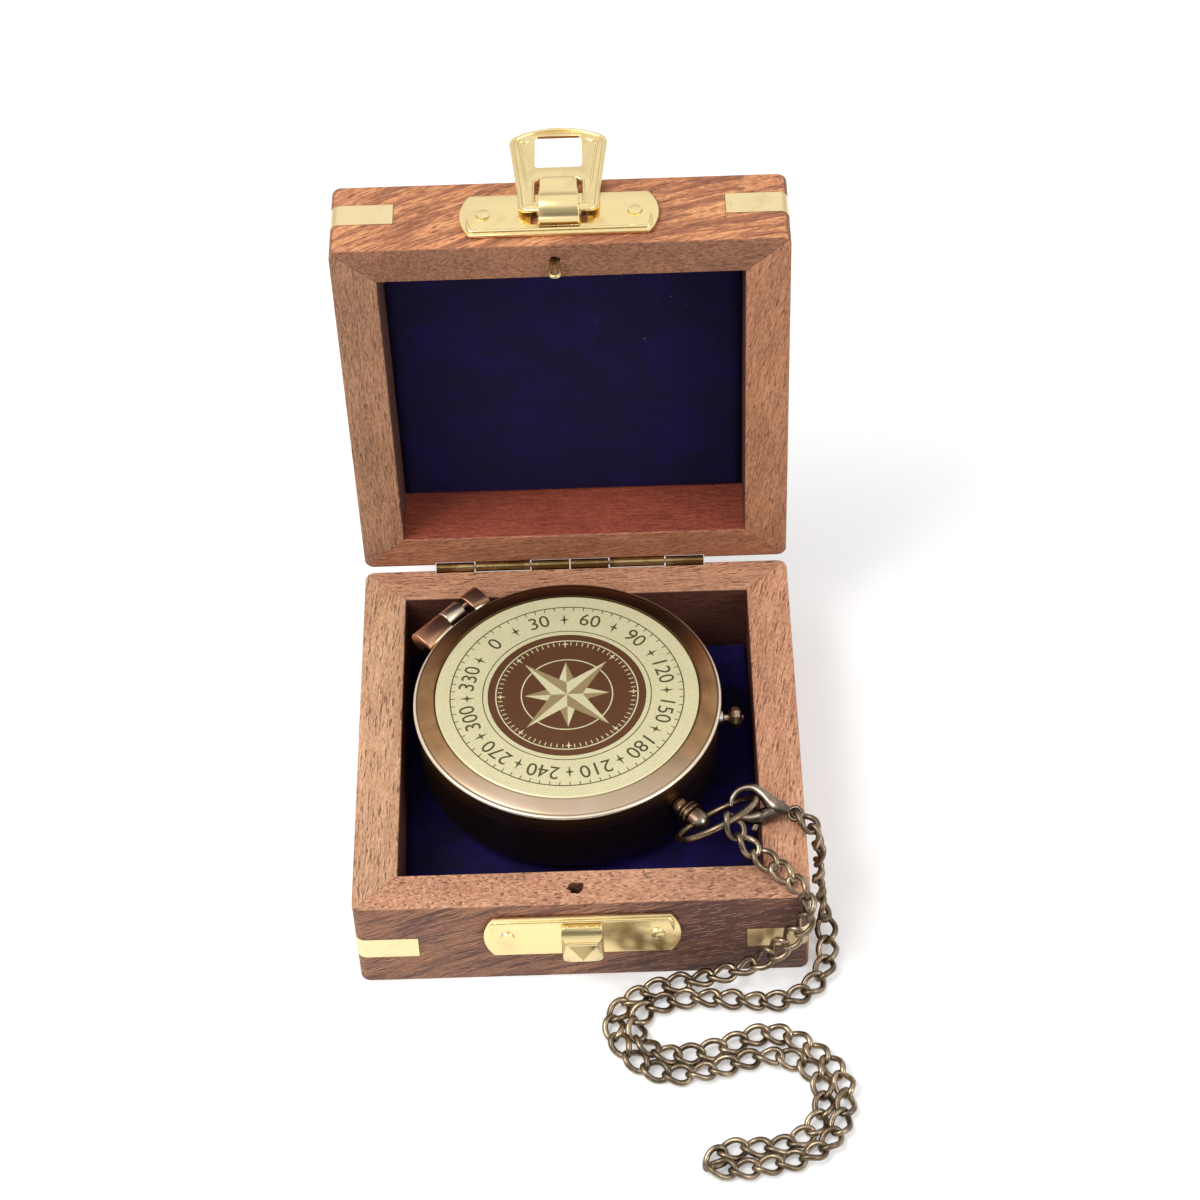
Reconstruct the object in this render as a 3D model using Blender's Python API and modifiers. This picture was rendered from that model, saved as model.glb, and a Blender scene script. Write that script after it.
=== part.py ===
"""A pocket compass on a chain, lying in its open hardwood box.

Metres, +Z up. The origin is under the middle of the box, +X is right and +Y runs back to the hinges.
The lid is drawn as it lies when the box is closed and is then swung open about its hinges.
"""

import math

import bmesh
import bpy
from mathutils import Matrix, Vector

# Clearances
GAP = 0.0003
MITRE_GAP = 0.0002
CLOSED_GAP = 0.0006

# Box
BOX_WIDTH = 0.1016
BOX_DEPTH = 0.1016
BASE_HEIGHT = 0.0267
LID_HEIGHT = 0.0218
SIDE_WALL = 0.0100
END_WALL = 0.0093
PANEL = 0.0047
BASE_LINING_TOP = 0.0080
LID_LINING_DEPTH = 0.0145
LID_OPEN = math.radians(90)

# Rear hinges
HINGE_LENGTH = 0.0321
HINGE_CENTRES = (-0.0176, 0.0148)
HINGE_KNUCKLE = 0.0093
HINGE_BARREL = 0.0023
HINGE_PIN = 0.0009
HINGE_BORE = 0.0015
HINGE_AXIS_OUT = 0.00042
LEAF_THICKNESS = 0.0008
LEAF_HEIGHT = 0.0085

# Corner inlays
INLAY_LENGTH = 0.0140
INLAY_HEIGHT = 0.0064
INLAY_THICKNESS = 0.0012
BASE_INLAY_Z = 0.0123
LID_INLAY_RISE = 0.0122

# Latch
LATCH_X = 0.0
PLATE_WIDTH = 0.0441
PLATE_HEIGHT = 0.0132
PLATE_THICKNESS = 0.0008
PLATE_BOW = 0.0022
PLATE_BEAD = 0.0007
BEAD_INSET = 0.0015
BASE_PLATE_Z = 0.0164
LID_PLATE_RISE = 0.00945
NAIL_SPACING = 0.0335
NAIL_HEAD = 0.0032
NAIL_DOME = 0.0008
NAIL_SHANK = 0.0012
NAIL_LENGTH = 0.0060
HASP_AXIS_OUT = 0.0026
HASP_AXIS_RISE = 0.0095
HASP_BAR = 0.0018
HASP_THICKNESS = 0.0013
HASP_HEEL = 0.0011
HASP_ROOT_WIDTH = 0.0177
HASP_END_WIDTH = 0.0221
HASP_CORNER = 0.0262
HASP_LENGTH = 0.0296
HASP_BEVEL = 0.0003
HASP_DROOP = math.radians(4.5)
NOTCH_WIDTH = 0.0105
NOTCH_END = 0.0109
WINDOW_WIDTH = 0.0106
WINDOW_START = 0.0147
WINDOW_END = 0.0266
STRAP_WIDTH = 0.0093
STRAP_SHEET = 0.0007
STRAP_END_RISE = 0.0193
SLIT_WIDTH = 0.0012
SLIT_LENGTH = 0.0066
CATCH_WIDTH = 0.0096
CATCH_HEIGHT = 0.0115
CATCH_Z = 0.01555
CATCH_OUT = 0.0040

# Locating loop and its hole
LOOP_X = -0.0012
LOOP_FROM_FRONT = 0.0044
LOOP_WIRE = 0.0010
LOOP_HALF_WIDTH = 0.0008
LOOP_OUT = 0.0057
LOOP_LEG = 0.0055
LOOP_HOLE = 0.0034
LOOP_HOLE_DEPTH = 0.0072

# Compass case and what it holds
SIDE_ROOM = 0.0051
CASE_RADIUS = BOX_WIDTH / 2 - SIDE_WALL - SIDE_ROOM
CASE_WALL_RADIUS = CASE_RADIUS - 0.0008
CASE_HEIGHT = 0.0165
CASE_FLOOR = 0.0020
CASE_RIM = 0.0008
CASE_RIM_CHAMFER = 0.0006
CASE_BORE = CASE_RADIUS - 0.0047
CASE_LEDGE_BORE = CASE_BORE - 0.0020
CASE_FOOT_RADIUS = CASE_RADIUS - 0.0072
CARD_Z = CASE_HEIGHT - 0.0075
CARD_THICKNESS = 0.0008
SPACER_HEIGHT = 0.0046
SPACER_WALL = 0.0014
GLASS_THICKNESS = 0.0010
RETAINER_HEIGHT = 0.0008
NEEDLE_LENGTH = 1.55 * CASE_BORE
NEEDLE_WIDTH = 0.0066
NEEDLE_THICKNESS = 0.0005
PIVOT_RADIUS = 0.0010
PIVOT_FLANGE = 0.0030
CUP_RADIUS = 0.0024
CUP_HEIGHT = 0.0022
ROUND_STEPS = 48

# Compass lid
COMPASS_LID_HEIGHT = 0.0069
LID_SKIN = 0.0011
LID_WALL = 0.0011
LID_BEAD = 0.0007
DISC_RADIUS = CASE_RADIUS - 0.0052
DISC_THICKNESS = 0.0007
HINGE_BEARING = math.radians(136)
HINGE_REACH = CASE_RADIUS + 0.0032
LID_AXIS_Z = CASE_HEIGHT + 0.0047
LID_BARREL = 0.0044
LID_PIN = 0.0012
LID_BORE = 0.0018
LID_KNUCKLE_SPAN = 0.0204
LID_LONG_KNUCKLE = 0.0084
CASE_KNUCKLE = 0.0054
LID_SHORT_KNUCKLE = 0.0047

# Button and lid catch
BUTTON_Z = CASE_HEIGHT - 0.0031
SLEEVE_RADIUS = 0.0016
SLEEVE_OUT = 0.0012
SHAFT_RADIUS = 0.0009
SHAFT_INSIDE = 0.0006
BULB_RADIUS = 0.0025
BULB_START = CASE_RADIUS + 0.0019
BULB_END = BULB_START + 0.0030
BUTTON_TIP = 0.0008
TIP_OUT = 0.0003
POCKET_DEPTH = 0.0070
CATCH_STRIP = 0.0007
CATCH_STRIP_WIDTH = 0.0040

# Stem and bow
STEM_BEARING = math.radians(-45.3)
STEM_Z = CASE_HEIGHT - 0.0038
STEM_SPIGOT = 0.0015
STEM_SPIGOT_DEPTH = 0.0024
STEM_FLANGE = 0.0023
STEM_NECK = 0.0019
STEM_COLLAR = 0.00325
STEM_BALL = 0.00265
BOW_HOLE_REACH = CASE_RADIUS + 0.0060
BOW_HOLE = 0.0011
BOW_RADIUS = 0.00975
BOW_WIRE = 0.0011
BOW_LEAN = math.radians(47)
BOW_TURN = math.radians(-54.2)

# Where the compass lies: its case against the back wall, its button just clear of the right one
BUTTON_ROOM = 0.00226
COMPASS_X = BOX_WIDTH / 2 - SIDE_WALL - BUTTON_ROOM - BULB_END - TIP_OUT
COMPASS_Y = BOX_DEPTH / 2 - END_WALL - GAP - CASE_RADIUS

# Clasp
EYE_FROM_BOW_HOLE = Vector((0.02153, -0.00556, 0.00860))
CLASP_BEARING = math.radians(155.5)
CLASP_TILT = math.radians(35)
EYE_RADIUS = 0.00145
EYE_WIRE = 0.0010
TRIGGER_AXIS = (0.0050, 0.0007)
TRIGGER_THICKNESS = 0.0010
TRIGGER_PIN = 0.0007
TRIGGER_BORE = 0.0013
TRIGGER_EYE = 0.0012

# Chain
LINK_WIRE = 0.0011
LINK_LENGTH = 0.0074
LINK_WIDTH = 0.0054
LINK_PITCH = 0.00515
LINK_TWIST = math.radians(45)
FIRST_ROLL = math.radians(-45)
ROLLED_LINKS = 3
LINK_POINTS = 8
LINK_TABLE_Z = 0.0017
# The route in three parts: from the bow and, at the far end, to the clasp as offsets from the stem's hole,
# and between them as offsets from the box's front right corner on the table.
ROUTE_FROM_BOW = (
    (0.00613, -0.01056, 0.01490),
    (0.00923, -0.01476, 0.01110),
)
ROUTE_OVER_CORNER = (
    (-0.0112, 0.0094, 0.0301),
    (-0.0076, 0.0068, 0.0291),
    (-0.0038, 0.0030, 0.0286),
    (-0.0006, -0.0012, 0.0272),
    (-0.0008, -0.0033, 0.0230),
    (-0.0034, -0.0035, 0.0180),
    (-0.0064, -0.0035, 0.0134),
    (-0.0103, -0.0034, 0.0088),
    (-0.0150, -0.0034, 0.0056),
    (-0.0200, -0.0034, 0.0040),
    (-0.0252, -0.0036, 0.0030),
    (-0.0308, -0.0041, 0.0021),
    (-0.0360, -0.0053, LINK_TABLE_Z),
    (-0.0406, -0.0076, LINK_TABLE_Z),
    (-0.0445, -0.0113, LINK_TABLE_Z),
    (-0.0458, -0.0162, LINK_TABLE_Z),
    (-0.0438, -0.0216, LINK_TABLE_Z),
    (-0.0396, -0.0270, LINK_TABLE_Z),
    (-0.0336, -0.0306, LINK_TABLE_Z),
    (-0.0268, -0.0310, LINK_TABLE_Z),
    (-0.0198, -0.0292, LINK_TABLE_Z),
    (-0.0132, -0.0268, LINK_TABLE_Z),
    (-0.0068, -0.0267, LINK_TABLE_Z),
    (-0.0016, -0.0298, LINK_TABLE_Z),
    (0.0000, -0.0348, LINK_TABLE_Z),
    (-0.0010, -0.0404, LINK_TABLE_Z),
    (-0.0046, -0.0448, LINK_TABLE_Z),
    (-0.0108, -0.0466, LINK_TABLE_Z),
    (-0.0174, -0.0468, LINK_TABLE_Z),
    (-0.0232, -0.0488, LINK_TABLE_Z),
    (-0.0252, -0.0516, LINK_TABLE_Z),
    (-0.0232, -0.0544, LINK_TABLE_Z),
    (-0.0172, -0.0552, LINK_TABLE_Z),
    (-0.0098, -0.0544, LINK_TABLE_Z),
    (-0.0026, -0.0528, LINK_TABLE_Z),
    (0.0032, -0.0488, LINK_TABLE_Z),
    (0.0064, -0.0428, LINK_TABLE_Z),
    (0.0080, -0.0360, LINK_TABLE_Z),
    (0.0064, -0.0294, LINK_TABLE_Z),
    (0.0016, -0.0236, LINK_TABLE_Z),
    (-0.0046, -0.0192, LINK_TABLE_Z),
    (-0.0110, -0.0174, LINK_TABLE_Z),
    (-0.0174, -0.0198, LINK_TABLE_Z),
    (-0.0244, -0.0216, LINK_TABLE_Z),
    (-0.0308, -0.0224, LINK_TABLE_Z),
    (-0.0364, -0.0208, LINK_TABLE_Z),
    (-0.0394, -0.0166, LINK_TABLE_Z),
    (-0.0372, -0.0120, LINK_TABLE_Z),
    (-0.0316, -0.0099, LINK_TABLE_Z),
    (-0.0248, -0.0094, LINK_TABLE_Z),
    (-0.0178, -0.0092, LINK_TABLE_Z),
    (-0.0108, -0.0090, LINK_TABLE_Z),
    (-0.0046, -0.0080, LINK_TABLE_Z),
    (0.0008, -0.0054, LINK_TABLE_Z),
    (0.0039, -0.0006, LINK_TABLE_Z),
    (0.0045, 0.0052, 0.0022),
    (0.0043, 0.0108, 0.0040),
    (0.0041, 0.0142, 0.0084),
    (0.0039, 0.0156, 0.0140),
    (0.0039, 0.0166, 0.0205),
    (0.0037, 0.0175, 0.0258),
)
ROUTE_TO_CLASP = (
    (0.02563, -0.00776, 0.00790),
    (0.02203, -0.00576, 0.00860),
)

# Finishes, as base colour, roughness and metallic value
FINISHES = {
    "hardwood": ((0.42, 0.19, 0.10), 0.55, 0.0),
    "velvet": ((0.01, 0.008, 0.06), 0.95, 0.0),
    "bright_brass": ((0.86, 0.66, 0.33), 0.25, 1.0),
    "aged_brass": ((0.40, 0.27, 0.11), 0.40, 1.0),
    "case_bronze": ((0.25, 0.14, 0.08), 0.30, 1.0),
    "chain_bronze": ((0.22, 0.17, 0.11), 0.35, 1.0),
    "printed_disc": ((0.80, 0.72, 0.42), 0.40, 0.3),
    "printed_card": ((0.85, 0.83, 0.74), 0.60, 0.0),
    "steel": ((0.55, 0.56, 0.58), 0.30, 1.0),
    "glass": ((0.90, 0.93, 0.93), 0.05, 0.0),
}

PARTS = bpy.data.collections.new("boxed_compass")
CUTTERS = bpy.data.collections.new("cutters")

BASE_FRONT = -BOX_DEPTH / 2
HINGE_AXIS = Vector((0, BOX_DEPTH / 2 + HINGE_AXIS_OUT, BASE_HEIGHT + CLOSED_GAP / 2))
LID_LOW = BASE_HEIGHT + CLOSED_GAP
LID_TOP = LID_LOW + LID_HEIGHT
HASP_AXIS = Vector((LATCH_X, BASE_FRONT - HASP_AXIS_OUT, LID_LOW + HASP_AXIS_RISE))
COMPASS_ORIGIN = Vector((COMPASS_X, COMPASS_Y, BASE_LINING_TOP + GAP))


def clear_scene():
    for obj in list(bpy.data.objects):
        bpy.data.objects.remove(obj)
    for group in (PARTS, CUTTERS):
        bpy.context.scene.collection.children.link(group)
    CUTTERS.hide_render = True


def finish(name):
    """The material of this name, made from FINISHES when it is first asked for."""
    if name in bpy.data.materials:
        return bpy.data.materials[name]
    colour, roughness, metallic = FINISHES[name]
    material = bpy.data.materials.new(name)
    material.use_nodes = True
    surface = material.node_tree.nodes["Principled BSDF"]
    surface.inputs["Base Color"].default_value = (*colour, 1)
    surface.inputs["Roughness"].default_value = roughness
    surface.inputs["Metallic"].default_value = metallic
    return material


def part(obj, name, finish_name):
    """Names the object as a sub-part and puts it in the object's collection."""
    move_to(obj, PARTS)
    obj.name = name
    obj.data.name = name
    obj.data.materials.clear()
    obj.data.materials.append(finish(finish_name))
    return obj


def move_to(obj, group):
    for old in list(obj.users_collection):
        old.objects.unlink(obj)
    group.objects.link(obj)


def mesh_object(bm, name="shape"):
    mesh = bpy.data.meshes.new(name)
    bm.to_mesh(mesh)
    bm.free()
    obj = bpy.data.objects.new(name, mesh)
    PARTS.objects.link(obj)
    return obj


def block(low, high):
    """A box between two corners, with its origin at its middle."""
    low, high = Vector(low), Vector(high)
    bm = bmesh.new()
    bmesh.ops.create_cube(bm, size=1)
    bmesh.ops.scale(bm, vec=high - low, verts=bm.verts)
    obj = mesh_object(bm)
    obj.location = (low + high) / 2
    return obj


def rod(start, end, radius, sides=12, end_radius=None):
    """A cylinder or cone from start to end."""
    start, end = Vector(start), Vector(end)
    bm = bmesh.new()
    bmesh.ops.create_cone(
        bm,
        cap_ends=True,
        segments=sides,
        radius1=radius,
        radius2=radius if end_radius is None else end_radius,
        depth=(end - start).length,
    )
    obj = mesh_object(bm)
    turn = (end - start).to_track_quat("Z", "Y").to_matrix().to_4x4()
    obj.matrix_world = Matrix.Translation((start + end) / 2) @ turn
    return obj


def turned(profile, steps=ROUND_STEPS):
    """A shape turned about Z from (radius, height) points that run down its outer side."""
    bm = bmesh.new()
    corners = [bm.verts.new((radius, 0, height)) for radius, height in profile]
    for first, second in zip(corners, corners[1:]):
        bm.edges.new((first, second))
    if profile[0][0] > 0:
        bm.edges.new((corners[-1], corners[0]))
    obj = mesh_object(bm)
    screw = obj.modifiers.new("Turn", "SCREW")
    screw.steps = steps
    screw.render_steps = steps
    screw.use_merge_vertices = True
    screw.merge_threshold = 0.00001
    return obj


def curve_object(splines, dimensions):
    curve = bpy.data.curves.new("curve", "CURVE")
    curve.dimensions = dimensions
    for points, radii, cyclic in splines:
        spline = curve.splines.new("POLY")
        spline.points.add(len(points) - 1)
        for spot, point, radius in zip(spline.points, points, radii):
            spot.co = (*point, 1) if len(point) == 3 else (*point, 0, 1)
            spot.radius = radius
        spline.use_cyclic_u = cyclic
    obj = bpy.data.objects.new("curve", curve)
    PARTS.objects.link(obj)
    return obj


def as_mesh(obj):
    """The curve object made into a mesh object, with its caps welded."""
    bpy.context.view_layer.update()
    graph = bpy.context.evaluated_depsgraph_get()
    mesh = bpy.data.meshes.new_from_object(obj.evaluated_get(graph))
    bm = bmesh.new()
    bm.from_mesh(mesh)
    bmesh.ops.remove_doubles(bm, verts=bm.verts, dist=0.000001)
    bmesh.ops.recalc_face_normals(bm, faces=bm.faces)
    bm.to_mesh(mesh)
    bm.free()
    made = bpy.data.objects.new("shape", mesh)
    PARTS.objects.link(made)
    made.matrix_world = obj.matrix_world
    bpy.data.objects.remove(obj)
    return made


def slab(outline, thickness, holes=()):
    """A flat outline in the XY plane, extruded half its thickness each way."""
    splines = [(points, [1] * len(points), True) for points in (outline, *holes)]
    obj = curve_object(splines, "2D")
    obj.data.fill_mode = "BOTH"
    obj.data.extrude = thickness / 2
    return as_mesh(obj)


def tube(points, radii, cyclic=False, resolution=1):
    """A round wire through the points, with a radius at each."""
    widest = max(radii)
    obj = curve_object([(points, [r / widest for r in radii], cyclic)], "3D")
    obj.data.fill_mode = "FULL"
    obj.data.bevel_depth = widest
    obj.data.bevel_resolution = resolution
    obj.data.use_fill_caps = True
    return as_mesh(obj)


def boolean(obj, other, operation):
    modifier = obj.modifiers.new(operation.title(), "BOOLEAN")
    modifier.operation = operation
    modifier.object = other
    move_to(other, CUTTERS)
    other.hide_render = True
    other.display_type = "WIRE"
    return obj


def cut(obj, *cutters):
    for cutter in cutters:
        boolean(obj, cutter, "DIFFERENCE")
    return obj


def fuse(obj, *others):
    for other in others:
        boolean(obj, other, "UNION")
    return obj


def soften(obj, width, segments=1):
    bevel = obj.modifiers.new("Bevel", "BEVEL")
    bevel.width = width
    bevel.segments = segments
    bevel.limit_method = "ANGLE"
    bevel.angle_limit = math.radians(40)
    return obj


def carrier(name, matrix):
    """An empty that a group of parts rides on."""
    empty = bpy.data.objects.new(name, None)
    PARTS.objects.link(empty)
    empty.empty_display_size = 0.005
    empty.matrix_world = matrix
    return empty


def ride(obj, empty, keep_place=True):
    """Parents a part and its cutters to an empty; keep_place leaves them where they were drawn."""
    for modifier in obj.modifiers:
        if modifier.type == "BOOLEAN":
            ride(modifier.object, empty, keep_place)
    obj.parent = empty
    if keep_place:
        obj.matrix_parent_inverse = empty.matrix_basis.inverted()
    return obj


def arc(centre, radius, start, end, count):
    """Points on an arc, its angles in degrees."""
    angles = [math.radians(start + (end - start) * i / (count - 1)) for i in range(count)]
    return [(centre[0] + radius * math.cos(a), centre[1] + radius * math.sin(a)) for a in angles]


# Box boards and panels


def board_outline(side):
    """The plan of one mitred board, its ends drawn back by half a mitre gap."""
    x, y = BOX_WIDTH / 2, BOX_DEPTH / 2
    back = MITRE_GAP * math.sqrt(0.5)
    if side in ("front", "back"):
        sign = -1 if side == "front" else 1
        outline = [(-x + back, sign * y), (x - back, sign * y)]
        outline += [(x - SIDE_WALL - back, sign * (y - END_WALL)), (-x + SIDE_WALL + back, sign * (y - END_WALL))]
    else:
        sign = -1 if side == "left" else 1
        outline = [(sign * x, -y + back), (sign * x, y - back)]
        outline += [(sign * (x - SIDE_WALL), y - END_WALL - back), (sign * (x - SIDE_WALL), -y + END_WALL + back)]
    return outline


def boards(prefix, low, high):
    """The four boards of one half of the box, by side."""
    made = {}
    for side in ("front", "back", "left", "right"):
        obj = slab(board_outline(side), high - low)
        obj.location.z = (low + high) / 2
        made[side] = part(obj, f"{prefix}_{side}", "hardwood")
    return made


def inner_block(low, high):
    """A panel or pad that fills the inside of the box between two heights."""
    x = BOX_WIDTH / 2 - SIDE_WALL - GAP
    y = BOX_DEPTH / 2 - END_WALL - GAP
    return block((-x, -y, low), (x, y, high))


def corner_outline(sign, outset, grow):
    """The L of one front corner inlay. outset pushes its outer faces out and grow its inner ones in."""
    x, y = BOX_WIDTH / 2, BOX_DEPTH / 2
    reach = INLAY_LENGTH + grow
    deep = INLAY_THICKNESS + grow
    outline = [(-x - outset, -y - outset), (-x + reach, -y - outset), (-x + reach, -y + deep)]
    outline += [(-x + deep, -y + deep), (-x + deep, -y + reach), (-x - outset, -y + reach)]
    return [(-sign * px, py) for px, py in outline]


def corner_inlays(prefix, walls, height):
    """The two brass strips let in round the front corners at this height."""
    made = []
    for side, sign in (("left", -1), ("right", 1)):
        strip = slab(corner_outline(sign, 0, 0), INLAY_HEIGHT)
        strip.location.z = height
        made.append(part(strip, f"{prefix}_inlay_{side}", "bright_brass"))
        for wall in (walls["front"], walls[side]):
            recess = slab(corner_outline(sign, GAP, GAP), INLAY_HEIGHT + 2 * GAP)
            recess.location.z = height
            cut(wall, recess)
    return made


# Rear hinges


def hinge_leaf(name, middle, upward):
    """One leaf with its knuckles. The base leaf has the outer two and the lid leaf the middle one."""
    x0, x1 = middle - HINGE_LENGTH / 2, middle + HINGE_LENGTH / 2
    sign = 1 if upward else -1
    axis_y, axis_z = HINGE_AXIS.y, HINGE_AXIS.z
    back = BOX_DEPTH / 2
    near, far = axis_z + sign * GAP / 2, axis_z + sign * LEAF_HEIGHT
    leaf = block((x0, back - LEAF_THICKNESS, min(near, far)), (x1, back, max(near, far)))
    inner = (x0 + HINGE_KNUCKLE, x1 - HINGE_KNUCKLE)
    clear = HINGE_BARREL / 2 + GAP
    if upward:
        knuckles = [(inner[0] + GAP / 2, inner[1] - GAP / 2)]
        rooms = [(x0 - GAP, inner[0] + GAP / 2), (inner[1] - GAP / 2, x1 + GAP)]
    else:
        knuckles = [(x0, inner[0] - GAP / 2), (inner[1] + GAP / 2, x1)]
        rooms = [(inner[0] - GAP / 2, inner[1] + GAP / 2)]
    for start, end in rooms:
        low = (start, back - 2 * LEAF_THICKNESS, axis_z - clear)
        high = (end, back + clear, axis_z + clear)
        cut(leaf, block(low, high))
    for start, end in knuckles:
        fuse(leaf, rod((start, axis_y, axis_z), (end, axis_y, axis_z), HINGE_BARREL / 2, 16))
    cut(leaf, rod((x0 - GAP, axis_y, axis_z), (x1 + GAP, axis_y, axis_z), HINGE_BORE / 2, 12))
    return part(leaf, name, "aged_brass")


def hinge_room(wall, middle, upward):
    """Lets one leaf and the barrel of a hinge into a back board."""
    x0, x1 = middle - HINGE_LENGTH / 2 - GAP, middle + HINGE_LENGTH / 2 + GAP
    sign = 1 if upward else -1
    axis_y, axis_z = HINGE_AXIS.y, HINGE_AXIS.z
    back = BOX_DEPTH / 2
    far = axis_z + sign * (LEAF_HEIGHT + GAP)
    low = (x0, back - LEAF_THICKNESS - GAP, min(axis_z, far))
    cut(wall, block(low, (x1, back + GAP, max(axis_z, far))))
    cut(wall, rod((x0, axis_y, axis_z), (x1, axis_y, axis_z), HINGE_BARREL / 2 + GAP, 16))


# Latch


def plate_outline():
    """A plate with bowed ends, in its own XY plane."""
    half, tall = PLATE_WIDTH / 2 - PLATE_BOW, PLATE_HEIGHT / 2
    radius = (tall**2 + PLATE_BOW**2) / (2 * PLATE_BOW)
    spread = math.degrees(math.asin(tall / radius))
    centre = half + PLATE_BOW - radius
    right = arc((centre, 0), radius, -spread, spread, 7)
    return right + [(-x, -y) for x, y in right]


def stand_up(obj, middle_z, out):
    """Stands a flat piece against the front of the box, its middle this far out from the wood."""
    obj.matrix_world = Matrix.Translation((LATCH_X, BASE_FRONT - out, middle_z)) @ Matrix.Rotation(
        math.radians(90), 4, "X"
    )
    return obj


def latch_plate(middle_z, bead_z):
    """A plate lying on the front of the box, with a raised bead near one long edge and its nail holes."""
    out = GAP + PLATE_THICKNESS / 2
    plate = stand_up(slab(plate_outline(), PLATE_THICKNESS), middle_z, out)
    reach = PLATE_WIDTH / 2 - 2 * PLATE_BOW
    face = BASE_FRONT - GAP - PLATE_THICKNESS
    bead = rod((LATCH_X - reach, face, bead_z), (LATCH_X + reach, face, bead_z), PLATE_BEAD / 2, 8)
    fuse(plate, bead)
    for x in nail_places():
        hole = rod((x, BASE_FRONT + GAP, middle_z), (x, face - GAP, middle_z), NAIL_SHANK / 2 + GAP)
        cut(plate, hole)
    return plate


def nail_places():
    return (LATCH_X - NAIL_SPACING / 2, LATCH_X + NAIL_SPACING / 2)


def latch_nails(prefix, wall, middle_z):
    """Two domed nails through a latch plate, and their holes in the board."""
    made = []
    seat = GAP + PLATE_THICKNESS + GAP
    for side, x in zip(("left", "right"), nail_places()):
        dome = arc((0, seat), NAIL_HEAD / 2, 90, 0, 6)
        dome = [(max(r, 0) if r > 1e-6 else 0, seat + (z - seat) * NAIL_DOME * 2 / NAIL_HEAD) for r, z in dome]
        nail = turned(dome + [(NAIL_SHANK / 2, seat), (NAIL_SHANK / 2, -NAIL_LENGTH), (0, -NAIL_LENGTH)], 14)
        nail.matrix_world = Matrix.Translation((x, BASE_FRONT, middle_z)) @ Matrix.Rotation(
            math.radians(90), 4, "X"
        )
        made.append(part(nail, f"{prefix}_nail_{side}", "bright_brass"))
        deep = BASE_FRONT + NAIL_LENGTH + GAP
        cut(wall, rod((x, BASE_FRONT - GAP, middle_z), (x, deep, middle_z), NAIL_SHANK / 2 + GAP))
    return made


def strap():
    """The plate's tongue, bent up over the hasp's bar and running on above it."""
    top = HASP_AXIS_OUT + HASP_BAR / 2 + 2 * GAP + STRAP_SHEET / 2
    bar = HASP_AXIS_RISE
    low = GAP + PLATE_THICKNESS / 2
    path = [
        (bar - 0.0062, low),
        (bar - 0.0050, low + 0.0008),
        (bar - 0.0036, top - 0.0012),
        (bar - 0.0020, top - 0.0002),
        (bar, top + 0.0002),
        (bar + 0.0021, top),
        (bar + 0.0038, top - 0.0004),
        (STRAP_END_RISE, top - 0.0006),
    ]
    outline = thickened(path, STRAP_SHEET)
    made = slab([(-out, rise) for rise, out in outline], STRAP_WIDTH)
    made.matrix_world = Matrix.Translation((LATCH_X, BASE_FRONT, LID_LOW)) @ Matrix(
        ((0, 0, 1, 0), (1, 0, 0, 0), (0, 1, 0, 0), (0, 0, 0, 1))
    )
    return soften(made, STRAP_SHEET / 4)


def thickened(path, thickness):
    """A closed outline half a thickness to each side of an open path."""
    left, right = [], []
    for i, spot in enumerate(path):
        before, after = Vector(path[max(i - 1, 0)]), Vector(path[min(i + 1, len(path) - 1)])
        along = (after - before).normalized()
        across = Vector((-along.y, along.x)) * thickness / 2
        left.append(tuple(Vector(spot) + across))
        right.append(tuple(Vector(spot) - across))
    return left + right[::-1]


def lid_latch_plate():
    middle_z = LID_LOW + LID_PLATE_RISE
    plate = latch_plate(middle_z, middle_z - PLATE_HEIGHT / 2 + BEAD_INSET)
    for sign in (-1, 1):
        start = LATCH_X + sign * (STRAP_WIDTH / 2 + GAP)
        end = start + sign * SLIT_WIDTH
        low = (min(start, end), BASE_FRONT - HASP_AXIS_OUT, HASP_AXIS.z - SLIT_LENGTH / 2)
        high = (max(start, end), BASE_FRONT, HASP_AXIS.z + SLIT_LENGTH / 2)
        cut(plate, block(low, high))
    fuse(plate, strap())
    return part(plate, "lid_latch_plate", "bright_brass")


def hasp_outline():
    """The hasp's frame, drawn from its pivot along +Y."""
    root, end = HASP_ROOT_WIDTH / 2, HASP_END_WIDTH / 2
    bow = HASP_LENGTH - HASP_CORNER
    right = [(root - 0.0012, -HASP_HEEL), (root, -HASP_HEEL + 0.0010), (root + 0.0004, 0.0060)]
    right += [(end - 0.0006, 0.0180), (end, HASP_CORNER - 0.0020), (end - 0.0006, HASP_CORNER - 0.0004)]
    right += [(end * 0.72, HASP_CORNER + bow * 0.50), (end * 0.38, HASP_CORNER + bow * 0.87)]
    return right + [(0, HASP_LENGTH)] + [(-x, y) for x, y in reversed(right)]


def window(width, start, end, corner=0.0007):
    """A four-sided hole with its corners cut, along +Y."""
    half = width / 2
    right = [(half - corner, start), (half, start + corner), (half, end - corner), (half - corner, end)]
    return right + [(-x, y) for x, y in reversed(right)]


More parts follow.
